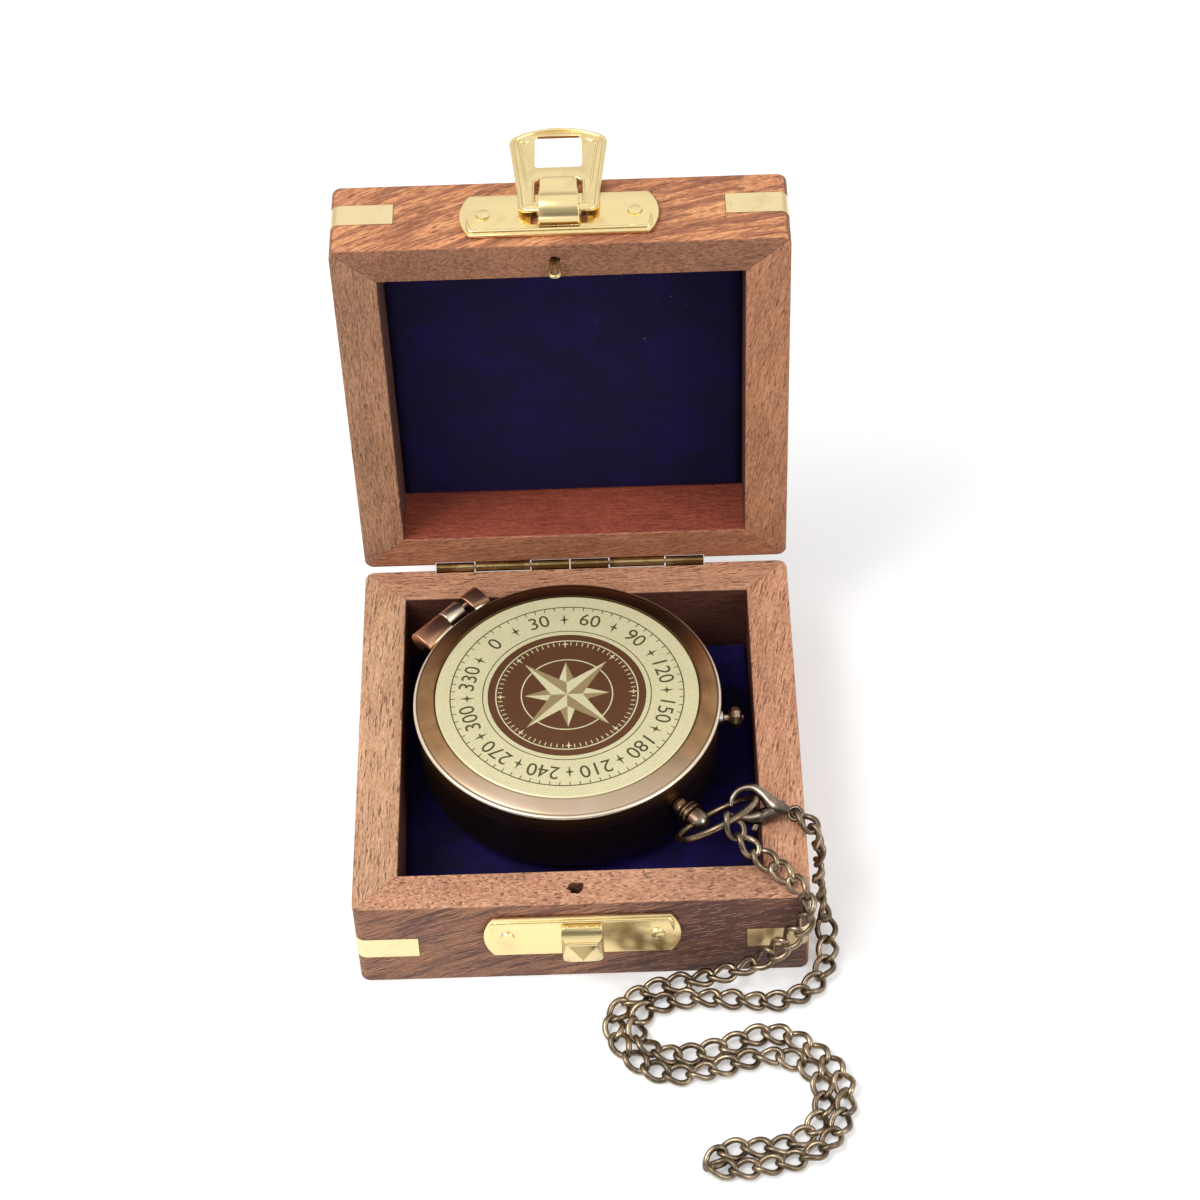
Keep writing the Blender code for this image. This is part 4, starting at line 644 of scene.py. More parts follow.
def hardwood(name, half, order, lean, face, rim, shade_inside, streaked=0.5, shadow_and_dark_wood=0.0):
    """Open-grained wood, its grain leaning by a slope and a curve, paler on the rims, partly as painted
    light, and with painted shade on the walls' inner faces; the order gives the axes along the grain,
    across it and into the board."""
    material, wire, place = surface(name)
    part = place.parts()
    along, cross, deep = (part[i] for i in order)
    cross = cross - along * lean[0] - along * along * lean[1]
    grain = wire.node("CombineXYZ", {}, {0: along, 1: cross, 2: deep})

    def noisy(wide, long, detail, offset, across=0.0, warp=0.0):
        settings = {
            "Vector": grain, "Scale": (wide / long, 1, 1),
            "Location": (offset, offset + across, offset),
        }
        spot = wire.node("Mapping", {}, settings)
        return speckle(wire, spot, 1 / wide, detail, 0.6, warp)

    cloud = noisy(0.014, 0.035, 2.0, 0.3)
    band = noisy(0.0021, 0.02, 3.0, 0.7, warp=0.5)
    fibre = noisy(0.00062, 0.006, 2.0, 0.1).ease(0.36, 0.64)
    meal = noisy(0.00052, 0.0012, 2.0, 0.5).ease(0.36, 0.64)
    pores = noisy(0.0005, 0.0032, 1.0, 0.9).ease(0.59, 0.66)
    glints = noisy(0.0005, 0.0032, 1.0, 0.9, across=0.00022).ease(0.59, 0.66) * (1.0 - pores)
    up = part[2].ease(0.0262, 0.0266) if half == "base" else 1.0 - part[1].ease(0.0516, 0.052)
    plane = part[1] if half == "base" else part[2] - 0.07822
    # Painted shade: this masks the inner faces of the walls below the rim, which take a darker, redder
    # colour for the box's own shadow.
    within = (1.0 - part[0].size().ease(0.04085, 0.0412)) * (1.0 - plane.size().ease(0.04155, 0.0419))
    inner = part[2].ease(0.0003, 0.0006) if half == "base" else 1.0 - part[1].ease(0.072, 0.0724)
    within = within * (1.0 - up) * inner
    tone = wire.maths("MULTIPLY_ADD", meal, 0.42, fibre * 0.34 + cloud.ease(0.35, 0.65) * 0.24)
    colour = up.mix(tone.mix(shade(face[0]), shade(face[1])), tone.mix(shade(rim[0]), shade(rim[1])))
    dark = [c * 0.55 for c in face[0]]
    streaks = band.ease(0.46, 0.57) * streaked * (0.45 + 0.65 * fibre) * (1.0 - 0.75 * up)
    # Painted shadow of the chain, together with darker wood: the streak colour spreads over the right
    # of the base's front.
    if shadow_and_dark_wood:
        shadow_and_dark_wood_mask = along.ease(0.0, 0.032) * shadow_and_dark_wood * (1.0 - 0.7 * up)
        streaks = wire.maths("MINIMUM", streaks + shadow_and_dark_wood_mask, 1.0)
    colour = streaks.mix(colour, (dark[0], dark[1] * 1.02, dark[2] * 1.45, 1))
    colour = (pores * 0.66).mix(colour, shade(face[0], 0.42))
    colour = (glints * 0.34).mix(colour, shade(rim[1], 1.25))
    # The painted shade goes on over the grain of the inner faces.
    colour = within.mix(colour, tone.mix(shade(shade_inside, 0.62), shade(shade_inside, 1.38)))
    height = tone * 0.5 + glints * 0.5 - pores
    bump = bumped(wire, 0.5, 0.0001, height)
    inputs = {
        "Base Color": colour, "Roughness": 0.46 + 0.12 * fibre + 0.1 * pores, "Normal": bump,
        "Specular IOR Level": 0.3,
    }
    return principled(material, wire, inputs)


# Painted shade colours for the inner faces: the base's, the lid's sides, and the lid's back board.
BASE_INSIDE_SHADE, LID_INSIDE_SHADE = (0.105, 0.038, 0.026), (0.108, 0.048, 0.038)
LID_BACK_INSIDE_SHADE = (0.29, 0.064, 0.036)
# Each board has its own rim and face tones. Besides the wood's own colour they hold painted light:
# faces turned up to the lamps are paler, faces turned away are darker, and left and right differ as
# each side is lit.
BASE_RIM = ((0.38, 0.16, 0.085), (0.84, 0.445, 0.265))
BASE_BACK_RIM = ((0.34, 0.155, 0.088), (0.76, 0.4, 0.235))
BASE_LEFT_RIM = ((0.4, 0.195, 0.105), (0.82, 0.49, 0.29))
LID_FRONT_RIM = ((0.13, 0.053, 0.029), (0.4, 0.185, 0.098))
LID_BACK_RIM = ((0.24, 0.087, 0.044), (0.54, 0.235, 0.125))
LID_LEFT_RIM = ((0.195, 0.095, 0.05), (0.52, 0.265, 0.145))
LID_RIGHT_RIM = ((0.265, 0.108, 0.053), (0.6, 0.28, 0.143))
FRONT_TONE = ((0.19, 0.082, 0.048), (0.46, 0.215, 0.122))
LID_TONE = ((0.4, 0.135, 0.057), (0.92, 0.43, 0.2))
SIDE_TONE = ((0.24, 0.095, 0.05), (0.52, 0.235, 0.122))
WOODS = {
    "base_front": ((0, 2, 1), (0.3, -1.5), FRONT_TONE, BASE_RIM, BASE_INSIDE_SHADE, 0.9, 0.8),
    "base_back": ((0, 1, 2), (0.06, 0.5), SIDE_TONE, BASE_BACK_RIM, BASE_INSIDE_SHADE),
    "base_left": ((1, 0, 2), (0.05, 0.4), SIDE_TONE, BASE_LEFT_RIM, BASE_INSIDE_SHADE),
    "base_right": ((1, 0, 2), (0.2, 0.8), SIDE_TONE, BASE_RIM, BASE_INSIDE_SHADE),
    "lid_front": ((0, 1, 2), (0.375, -2.25), LID_TONE, LID_FRONT_RIM, LID_INSIDE_SHADE, 0.85),
    "lid_back": ((0, 2, 1), (0.08, 0.3), SIDE_TONE, LID_BACK_RIM, LID_BACK_INSIDE_SHADE),
    "lid_left": ((2, 0, 1), (-0.04, 0.3), SIDE_TONE, LID_LEFT_RIM, LID_INSIDE_SHADE),
    "lid_right": ((2, 0, 1), (0.1, 0.5), SIDE_TONE, LID_RIGHT_RIM, LID_INSIDE_SHADE),
}
woods = {node: hardwood(f"wood_{node}", node.split("_")[0], *row) for node, row in WOODS.items()}


def box_board(half, side, low, high, rim):
    """One board, its lengthwise edges eased and the fittings' recesses cut."""
    bm = upright_slab(board_plan(side), low, high)
    inner = min(abs(v.co.x if side in ("left", "right") else v.co.y) for v in bm.verts) + 0.0001
    edges = []
    for edge in bm.edges:
        level = abs(edge.verts[0].co.z - edge.verts[1].co.z) < 1e-6
        spans = [abs(v.co.x if side in ("left", "right") else v.co.y) for v in edge.verts]
        mitre = (spans[0] < inner) != (spans[1] < inner)
        if level and not mitre:
            edges.append(edge)
    ease_edges(bm, edges, 0.00045)
    cutters = []
    if side != "back":
        for sign in (-1, 1) if side == "front" else ((-1,) if side == "left" else (1,)):
            middle, tall = STRIP_HEIGHTS[half], STRIP_HALF + STRIP_PLAY
            cutters.append(
                upright_slab(strip_plan(sign, 0.0006, STRIP_PLAY), middle - tall, middle + tall)
            )
    if side == "back":
        sign = 1 if half == "lid" else -1
        for middle in HINGE_MIDDLES:
            near, far = sorted((HINGE_AXIS.z, HINGE_AXIS.z + sign * LEAF_TALL))
            left, right = middle - HINGE_RECESS_HALF, middle + HINGE_RECESS_HALF
            cutters.append(box_block((left, BOX_Y - 0.001, near), (right, BOX_Y + 0.001, far)))
            cutters.append(
                round_bar((left, *HINGE_AXIS.yz), (right, *HINGE_AXIS.yz), KNUCKLE_RADIUS, 24)
            )
    if side == "front":
        hole = 0.00125 if half == "lid" else 0.00175
        bore = round_bar((*LOOP_SPOT, rim - 0.0072), (*LOOP_SPOT, rim + 0.0072), hole, 20)
        for vert in bore.verts:
            seed = 3.1 if half == "lid" else 7.7
            rag = noise.noise(Vector((vert.co.x * 1400, vert.co.y * 1400, seed)))
            vert.co.x += rag * 0.0007
            vert.co.y += rag * 0.0004
        cutters.append(bore)
    bm = on_half(shaped(bm, cutters), half)
    node = f"{half}_{side}"
    return piece(f"board_{node}", bm, woods[node], f"box_{half}", (node,), 30)


for side in ("front", "back", "left", "right"):
    box_board("base", side, 0, BASE_HIGH, BASE_HIGH)
    box_board("lid", side, LID_LOW, LID_TOP, LID_LOW)

# The two panels: a thin hardwood bottom and top let in between the boards, flush with their outer
# faces and eased along the joint.

for half, low, high in (("base", 0.0, PANEL_THICK), ("lid", LID_TOP - PANEL_THICK, LID_TOP)):
    x, y = BOX_X - SIDE_WALL - 0.0001, BOX_Y - END_WALL - 0.0001
    bm = box_block((-x, -y, low), (x, y, high))
    ease_edges(bm, bm.edges[:], 0.0003, 2)
    bm = on_half(bm, half)
    node = "base_bottom" if half == "base" else "lid_top"
    piece(f"panel_{node}", bm, woods[f"{half}_back"], f"box_{half}", (node,), 30)

# The corner strips: thin bright brass bent round each front corner and let in flush, one above the
# other on the two halves, dulled a little and scuffed by handling.


def bright_brass(name, tone, rough, scratched, shaded=None):
    """Polished brass with soft cloudy tarnish and hair-fine scratches, and, where asked for, a
    triangle of painted dark reflection given as half its width, its point's height and its base's
    height."""
    material, wire, place = surface(name)
    cloud = speckle(wire, place, 130.0, 5.0, 0.62)
    fleck = speckle(wire, place, 2600.0, 2.0)
    long = wire.node("Mapping", {}, {"Vector": place, "Scale": (0.05, 1.0, 1.0)})
    scratch = speckle(wire, long, 5200.0, 2.0)
    tarnish = cloud.ease(0.5, 0.74)
    colour = (tarnish * 0.32).mix(shade(tone), (*[c * k for c, k in zip(tone, (0.62, 0.52, 0.42))], 1))
    colour = (fleck.ease(0.66, 0.76) * 0.35).mix(colour, (0.2, 0.12, 0.05, 1))
    # Painted dark reflection: a triangle of the face is mixed toward a much darker brass.
    if shaded:
        half, point, base = shaded
        part = place.parts()
        shade_inside = (part[2] - point) * (half / (base - point)) - part[0].size()
        painted_dark_facet = shade_inside.ease(0.0, 0.0003) * (1.0 - part[2].ease(base - 0.0002, base + 0.0001))
        colour = (painted_dark_facet * 0.8).mix(colour, (*[c * k for c, k in zip(tone, (0.42, 0.38, 0.3))], 1))
    bump = bumped(wire, scratched, 0.00003, scratch + 0.5 * fleck)
    roughness = rough + 0.2 * tarnish + 0.08 * scratch
    return metallic(material, wire, colour, roughness, bump)


strip_brass = bright_brass("strip_brass", (0.93, 0.75, 0.42), 0.26, 0.35)
for half in ("base", "lid"):
    for side, sign in (("left", -1), ("right", 1)):
        middle = STRIP_HEIGHTS[half]
        bm = upright_slab(strip_plan(sign, 0.00004), middle - STRIP_HALF, middle + STRIP_HALF)
        bm = on_half(bm, half)
        piece(
            f"strip_{half}_{side}", bm, strip_brass, f"box_{half}",
            (f"{half}_inlay_{side}",), 30,
        )

# The lining: a velvet pad glued in the bottom of each half. It is a little full, so that its edges
# roll down against the boards, and lint has caught in the pile of the lid's.


def velvet(name, glow, lint_middle, lint_reach):
    """Deep blue-violet pile, brighter where it is brushed up, with a few pale fibres caught in it."""
    material, wire, place = surface(name)
    nap = speckle(wire, place, 85.0, 4.0, 0.6, 0.8)
    pile = speckle(wire, place, 5200.0, 2.0)
    colour = nap.ease(0.34, 0.78).mix((0.0065, 0.005, 0.025, 1), shade(glow))
    colour = (pile.ease(0.3, 0.8) * 0.3).mix(colour, (0.018, 0.013, 0.07, 1))
    cells = wire.node(
        "TexVoronoi", {"feature": "F1"}, {"Vector": place, "Scale": 380.0, "Randomness": 1.0}
    )
    near = wire.node("VectorMath", {"operation": "DISTANCE"}, {0: place, 1: lint_middle}, 1)
    sparse = speckle(wire, place, 700.0, 1.0).ease(0.56, 0.62)
    lint = (1.0 - cells.ease(0.03, 0.075)) * sparse * (1.0 - near.ease(lint_reach * 0.3, lint_reach))
    colour = (lint * 0.6).mix(colour, (0.36, 0.36, 0.44, 1))
    bump = bumped(wire, 0.55, 0.0002, pile + 0.6 * nap)
    inputs = {"Base Color": colour, "Roughness": 0.94, "Normal": bump, "Sheen Weight": 0.16}
    inputs |= {"Sheen Roughness": 0.35, "Sheen Tint": (0.2, 0.14, 0.75, 1), "Specular IOR Level": 0.15}
    return principled(material, wire, inputs)


def pad_mesh(low, high, face_up):
    """A thin pad whose face is crowned and softly uneven and whose edges roll over."""
    x, y, steps = BOX_X - SIDE_WALL - 0.0002, BOX_Y - END_WALL - 0.0002, 90
    bm = bmesh.new()
    bmesh.ops.create_grid(bm, x_segments=steps, y_segments=steps, size=1)
    for vert in bm.verts:
        u, v = vert.co.x, vert.co.y
        edge = min((1 - abs(u)) * x, (1 - abs(v)) * y)
        roll = 1 - max(0.0, 1 - edge / 0.0022) ** 2.4
        uneven = 0.00014 * noise.noise(Vector((u * 3.1, v * 3.1, 5.0 if face_up else 9.0)))
        top = (high - low) * (0.62 + 0.38 * roll) + uneven * roll - 0.00012
        vert.co = (u * x, v * y, low + top if face_up else high - top)
    rim = bmesh.ops.extrude_edge_only(bm, edges=[e for e in bm.edges if e.is_boundary])["geom"]
    for vert in only_verts(rim):
        vert.co.z = low if face_up else high
    bmesh.ops.holes_fill(bm, edges=[e for e in bm.edges if e.is_boundary], sides=0)
    bmesh.ops.recalc_face_normals(bm, faces=bm.faces)
    return bm


base_pad = piece(
    "velvet_base_pad", pad_mesh(0.005, 0.008, True),
    velvet("velvet_base", (0.018, 0.008, 0.13), (0, 0, -1), 0.001), "box_base",
    ("base_velvet",), 60,
)
bm = placed(pad_mesh(LID_LOW + 0.0145, LID_TOP - 0.005, False), lid_swing)
lid_pad = piece(
    "velvet_lid_pad", bm, velvet("velvet_lid", (0.01, 0.005, 0.058), (0.022, 0.066, 0.098), 0.024),
    "box_lid", ("lid_velvet",), 60,
)

# The rear hinges: two butt hinges of antique brass, each with three rolled knuckles on a steel pin
# and its leaves let into the back boards.

old_brass = worn_bronze("old_brass", (0.2, 0.125, 0.045), (0.5, 0.36, 0.17), 0.24, wear=0.8)
dull_steel = worn_bronze("dull_steel", (0.3, 0.29, 0.28), (0.55, 0.54, 0.52), 0.28)
for side in ("left", "right"):
    dress(f"hinge_{side}_base_leaf", old_brass)
    dress(f"hinge_{side}_lid_leaf", old_brass)
    dress(f"hinge_{side}_pin", dull_steel)

# The latch plates: stamped brass with bowed ends, a raised bead along the edge next to the rim, and
# a low nail at each end. The lid's also carries the strap that is bent round the hasp's bar.

PLATE_HALF, PLATE_TALL, PLATE_THICK, PLATE_BOW = 0.02205, 0.0066, 0.0008, 0.0022
latch_brass = bright_brass("latch_brass", (0.94, 0.75, 0.38), 0.17, 0.25)
BOX_FRONT = -BOX_Y
PLATE_LIFT, BEAD_CORNER = 0.0003, 0.0013
BASE_MIDDLE, LID_MIDDLE = 0.0164, LID_LOW + 0.00945
end_radius = (PLATE_TALL**2 + PLATE_BOW**2) / (2 * PLATE_BOW)
spread = math.degrees(math.asin(PLATE_TALL / end_radius))
plate_end = round_corner((PLATE_HALF - end_radius, 0), end_radius, -spread, spread, 17)
PLATE_OUTLINE = plate_end + [(-x, -y) for x, y in plate_end]


def flat_plate(outline, thickness, ease, holes=()):
    """A flat plate in its own XY plane with rounded-over edges."""
    curve = bpy.data.curves.new("plate", "CURVE")
    curve.dimensions = "2D"
    curve.fill_mode = "BOTH"
    curve.extrude = thickness / 2 - ease
    curve.bevel_depth = ease
    curve.bevel_resolution = 2
    curve.offset = -ease
    for points in (outline, *holes):
        spline = curve.splines.new("POLY")
        spline.points.add(len(points) - 1)
        for spot, point in zip(spline.points, points):
            spot.co = (*point, 0, 1)
        spline.use_cyclic_u = True
    return curve_mesh(curve)


def on_front(bm, middle_z, out):
    """Stands a flat piece against the front of the box, its middle this far out from the wood."""
    stand = Matrix.Rotation(math.radians(90), 4, "X")
    return placed(bm, Matrix.Translation((0, BOX_FRONT - out, middle_z)) @ stand)


def plate_bead(middle_z, toward):
    """The pressed bead along the plate's edge next to the rim, running a little way along each end."""
    corner = (0.0188, PLATE_TALL - 2 * BEAD_CORNER)
    right = [(0.02035, 0.001), (0.02025, 0.0024)] + round_corner(corner, BEAD_CORNER, 0, 90, 7)
    left = [(-x, y) for x, y in right[::-1]]
    face = BOX_FRONT - PLATE_LIFT - PLATE_THICK
    line = [Vector((x, face, middle_z + y * toward)) for x, y in right + left]
    ends = [0.00012, 0.00034] + [0.00046] * (len(line) - 4) + [0.00034, 0.00012]
    return wire_mesh(line, ends, sides=12)


def turned(profile, steps=144):
    """A shape turned about Z from (radius, height) points."""
    bm = bmesh.new()
    spots = [bm.verts.new((r, 0, z)) for r, z in profile]
    edges = [bm.edges.new(pair) for pair in zip(spots, spots[1:])]
    if profile[0][0] > 0:
        edges.append(bm.edges.new((spots[-1], spots[0])))
    bmesh.ops.spin(
        bm, geom=spots + edges, axis=(0, 0, 1), cent=(0, 0, 0), steps=steps, angle=math.tau,
        use_merge=True,
    )
    bmesh.ops.remove_doubles(bm, verts=bm.verts, dist=0.0000005)
    bmesh.ops.recalc_face_normals(bm, faces=bm.faces)
    return bm


def nail(x, middle_z, sides):
    """A low, flat-topped nail head."""
    profile = [
        (0, 0.00062), (0.00125, 0.00058), (0.00152, 0.00047), (0.00172, 0.00004), (0.00165, -0.0004)
    ]
    head = placed(turned(profile, sides), Matrix.Translation((x, 0, 0)))
    return on_front(head, middle_z, PLATE_LIFT + PLATE_THICK)


def strap_section():
    """The strap's side view, as (height above the lid's rim, distance out from the wood)."""
    bar = 0.0095
    path = [
        (bar - 0.004, 0.0017), (bar - 0.0031, 0.0018), (bar - 0.0025, 0.0022),
        (bar - 0.0019, 0.0031), (bar - 0.001, 0.0042),
    ]
    path += [
        (bar, 0.0048), (bar + 0.0011, 0.0049), (bar + 0.002, 0.0045), (bar + 0.003, 0.0042),
        (0.015, 0.0041),
    ]
    path += [(0.0166, 0.0041), (0.0174, 0.0041), (0.018, 0.0041)]
    line = smooth([(rise, out, 0) for rise, out in path], 4)
    left, right = [], []
    for i, spot in enumerate(line):
        run = (line[min(i + 1, len(line) - 1)] - line[max(i - 1, 0)]).normalized()
        side = Vector((-run.y, run.x, 0)) * 0.00035
        left.append(tuple((spot + side).xy))
        right.append(tuple((spot - side).xy))
    return left + right[::-1]


NAIL_X = 0.01675


def stamped_plate(middle_z, slots=()):
    plate = flat_plate(PLATE_OUTLINE, PLATE_THICK, 0.00018, slots)
    return on_front(plate, middle_z, PLATE_LIFT + PLATE_THICK / 2)


base_plate = joined(stamped_plate(BASE_MIDDLE), plate_bead(BASE_MIDDLE, 1))
piece(
    "latch_base_plate", base_plate, latch_brass, "box_base", ("base_latch_plate",),
    35,
)
strap_slots = []
for sign in (-1, 1):
    near, far = sorted((sign * 0.00495, sign * 0.00615))
    strap_slots.append([(near, -0.0033), (far, -0.0033), (far, 0.0033), (near, 0.0033)])
strap_slots.append([(-0.0043, -0.0047), (0.0043, -0.0047), (0.0043, -0.004), (-0.0043, -0.004)])
strap_turn = Matrix(((0, 0, 1, 0), (1, 0, 0, 0), (0, 1, 0, 0), (0, 0, 0, 1)))
strap_place = Matrix.Translation((0, BOX_FRONT, LID_LOW)) @ strap_turn
STRAP_HALF, STRAP_ROUND = 0.00465, 0.0014
strap = flat_plate([(-out, rise) for rise, out in strap_section()], 2 * STRAP_HALF, 0.00012)
for vert in strap.verts:
    short = min(max(STRAP_ROUND - (0.0181 - vert.co.y), 0.0), STRAP_ROUND)
    taper = 0.00055 * clamp((vert.co.y - 0.0105) / 0.004)
    waist = 0.0003 * math.sin(math.pi * clamp((vert.co.y - 0.0055) / 0.0055))
    rounded = STRAP_ROUND - math.sqrt(max(STRAP_ROUND**2 - short**2, 0.0))
    vert.co.z *= (STRAP_HALF - taper - waist - rounded) / STRAP_HALF
placed(strap, strap_place)
lid_plate = joined(stamped_plate(LID_MIDDLE, strap_slots), plate_bead(LID_MIDDLE, -1), strap)
piece(
    "latch_lid_plate", placed(lid_plate, lid_swing), latch_brass, "box_lid",
    ("lid_latch_plate",), 35,
)
for half, middle in (("base", BASE_MIDDLE), ("lid", LID_MIDDLE)):
    for side, x in (("left", -NAIL_X), ("right", NAIL_X)):
        bm = on_half(nail(x, middle, 8 if half == "lid" else 24), half)
        piece(
            f"nail_{half}_{side}", bm, latch_brass, f"box_{half}",
            (f"{half}_latch_nail_{side}",), 25,
        )

# The hasp: a stamped frame with an arched end, a stepped edge and two windows, swinging on a round
# bar under the strap. The box stands open, so it lies back over the lid's front edge.

HASP_AXIS = Vector((0, BOX_FRONT - 0.0026, LID_LOW + 0.0095))
HASP_HALF = (
    ((0.00765, -0.0011), (1, 0)), ((0.00885, -0.0001), (1, 0)), ((0.00925, 0.006), (1, 0)),
    ((0.01045, 0.018), (1, 0)), ((0.01105, 0.024), (1, 0)), ((0.0107, 0.0258), (1, 0.6)),
    ((0.0098, 0.0267), (1, 1)), ((0.008, 0.0279), (1, 1)), ((0.0056, 0.0288), (0.7, 1)),
    ((0.0028, 0.0294), (0.4, 1)), ((0, 0.0296), (0, 1)),
)


def hasp_outline(inset):
    """The frame's outline from its pivot along +Y, drawn in by an inset."""
    right = [(x - inset * in_x, y - inset * in_y) for (x, y), (in_x, in_y) in HASP_HALF]
    return right + [(-x, y) for x, y in reversed(right[:-1])]


def window(half, start, stop, corner):
    right = [
        (half - corner, start), (half, start + corner), (half, stop - corner), (half - corner, stop)
    ]
    return right + [(-x, y) for x, y in reversed(right)]


def raised_line(points, radius, height, closed):
    """A pressed bead on the hasp's face through (x, y) points, fading out at open ends."""
    radii = [radius] * len(points)
    if not closed:
        radii[0] = radii[-1] = radius * 0.3
    return wire_mesh([(x, y, height) for x, y in points], radii, closed, 12)


lower, upper = window(0.0053, 0.0009, 0.0102, 0.001), window(0.0053, 0.0147, 0.0266, 0.0006)
side_line = [(x, y) for x, y in hasp_outline(0.0023) if x > 0 and y > 0.001]
side_line = [tuple(spot.xy) for spot in smooth([(x, y, 0) for x, y in side_line[:-2]], 3)]
hasp = joined(
    flat_plate(hasp_outline(0), 0.0009, 0.00022, (lower, upper)),
    raised_line(hasp_outline(0.00062), 0.0005, 0.00034, True),
    raised_line(side_line, 0.00036, 0.00036, False),
    raised_line([(-x, y) for x, y in side_line], 0.00036, 0.00036, False),
    raised_line(window(0.00562, 0.00058, 0.01052, 0.0011), 0.0003, 0.00036, True),
    round_bar((-0.0075, 0, 0), (0.0075, 0, 0), 0.0009),
)
hasp_turn = Matrix.Rotation(math.radians(90 - 4.5), 4, "X")
hasp_place = lid_swing @ Matrix.Translation(HASP_AXIS) @ hasp_turn
piece("hasp_plate", placed(hasp, hasp_place), latch_brass, "hasp_frame", ("hasp",), 35)

# The catch: a cast hook on the base's plate that the hasp snaps over. Its top edge is scalloped, a
# ridge crosses it, and below the ridge its face falls away in a triangle with rounded corners.

bm = bmesh.new()
for x, y, z in (
    (0.0048, -0.0049, 0.0), (0.0044, -0.0056, 0.0), (0.0036, -0.0059, 0.0),
    (0.0046, 0.0057, 0.0), (0.0046, -0.0049, 0.0022), (0.0042, -0.0055, 0.0023),
    (0.0034, -0.0058, 0.0024), (0.0034, 0.003, 0.0043), (0.0047, 0.004, 0.0026),
    (0.0044, 0.0057, 0.0015),
):
    bm.verts.new((x, y, z))
    bm.verts.new((-x, y, z))
bm.verts.new((0, -0.0044, 0.0033))
hull = bmesh.ops.convex_hull(bm, input=bm.verts)
bmesh.ops.delete(bm, geom=only_verts(hull["geom_interior"]), context="VERTS")
bmesh.ops.dissolve_limit(bm, angle_limit=math.radians(2), verts=bm.verts, edges=bm.edges)
ease_edges(bm, [e for e in bm.edges if max(v.co.z for v in e.verts) > 0.0005], 0.00022, 2)
scoop = round_bar((-0.006, 0.00692, 0.00531), (0.006, 0.00692, 0.00531), 0.0039, 48)
notches = [
    round_bar((x, 0.00605, -0.001), (x, 0.00605, 0.004), 0.00048)
    for x in (-0.0034, -0.0012, 0.001, 0.0032)
]
ridge = round_bar((-0.0034, 0.003, 0.004), (0.0034, 0.003, 0.004), 0.00042, 16)
catch = on_front(joined(shaped(bm, [scoop, *notches]), ridge), 0.01555, 0.0011)
# The triangle below the ridge gets painted dark reflection, darker brass where the face would mirror
# the dark things in front of it.
catch_brass = bright_brass(
    "catch_brass", (0.86, 0.68, 0.34), 0.2, 0.25, shaded=(0.0034, 0.0111, 0.0183)
)
piece("catch_hook", catch, catch_brass, "box_base", ("base_catch",), 30)

# The locating loop: a bent brass wire in the lid's rim that drops into the base's hole when the box
# is closed, set in a ragged hole.

LOOP_LOW, LOOP_WIRE = -0.0041, 0.00096
legs = [(-0.00035, 0.005), (-0.00045, 0.0008), (-0.0008, -0.0018)]
legs += round_corner((0, LOOP_LOW), 0.0011, 180, 360, 9)
legs += [(0.0008, -0.0018), (0.00045, 0.0008), (0.00035, 0.005)]
loop_line = smooth([(LOOP_SPOT[0] + x, LOOP_SPOT[1], LID_LOW + z) for x, z in legs], 4)
loop = wire_mesh(loop_line, [LOOP_WIRE / 2] * len(loop_line), sides=14)
loop_brass = worn_bronze("loop_brass", (0.42, 0.33, 0.13), (0.84, 0.72, 0.4), 0.24, wear=0.8)
piece("loop_wire", placed(loop, lid_swing), loop_brass, "box_lid", ("locating_loop",), 60)

# The compass case: a turned bronze cup, browned all over and rubbed bright on its edges, with a
# ledge for the card and a lug that carries the middle knuckle of its lid's hinge.

COMPASS_PLACE = Matrix.Translation((-0.00236, 0.0055, 0.0083))
CASE_HIGH, LID_EDGE, LID_HIGH = 0.0165, 0.0168, 0.0237
HINGE_BEARING = math.radians(136)
HINGE_REACH, HINGE_RISE = 0.0389, 0.0212


def knuckle(outline, start, stop):
    """A slab of this side view across the lid's hinge, between two places along it."""
    bm = flat_plate(outline, stop - start, 0.00025)
    along = (start + stop) / 2
    stand = Matrix(((1, 0, 0, 0), (0, 0, -1, -along), (0, 1, 0, 0), (0, 0, 0, 1)))
    return placed(bm, COMPASS_PLACE @ Matrix.Rotation(HINGE_BEARING, 4, "Z") @ stand)


def from_middle(wire, place):
    """The place measured from the compass's own middle, as three parts, and its radius."""
    middle = COMPASS_PLACE.translation
    local = wire.node("VectorMath", {"operation": "SUBTRACT"}, {0: place, 1: middle}).parts()
    return local, (local[0] ** 2.0 + local[1] ** 2.0) ** 0.5


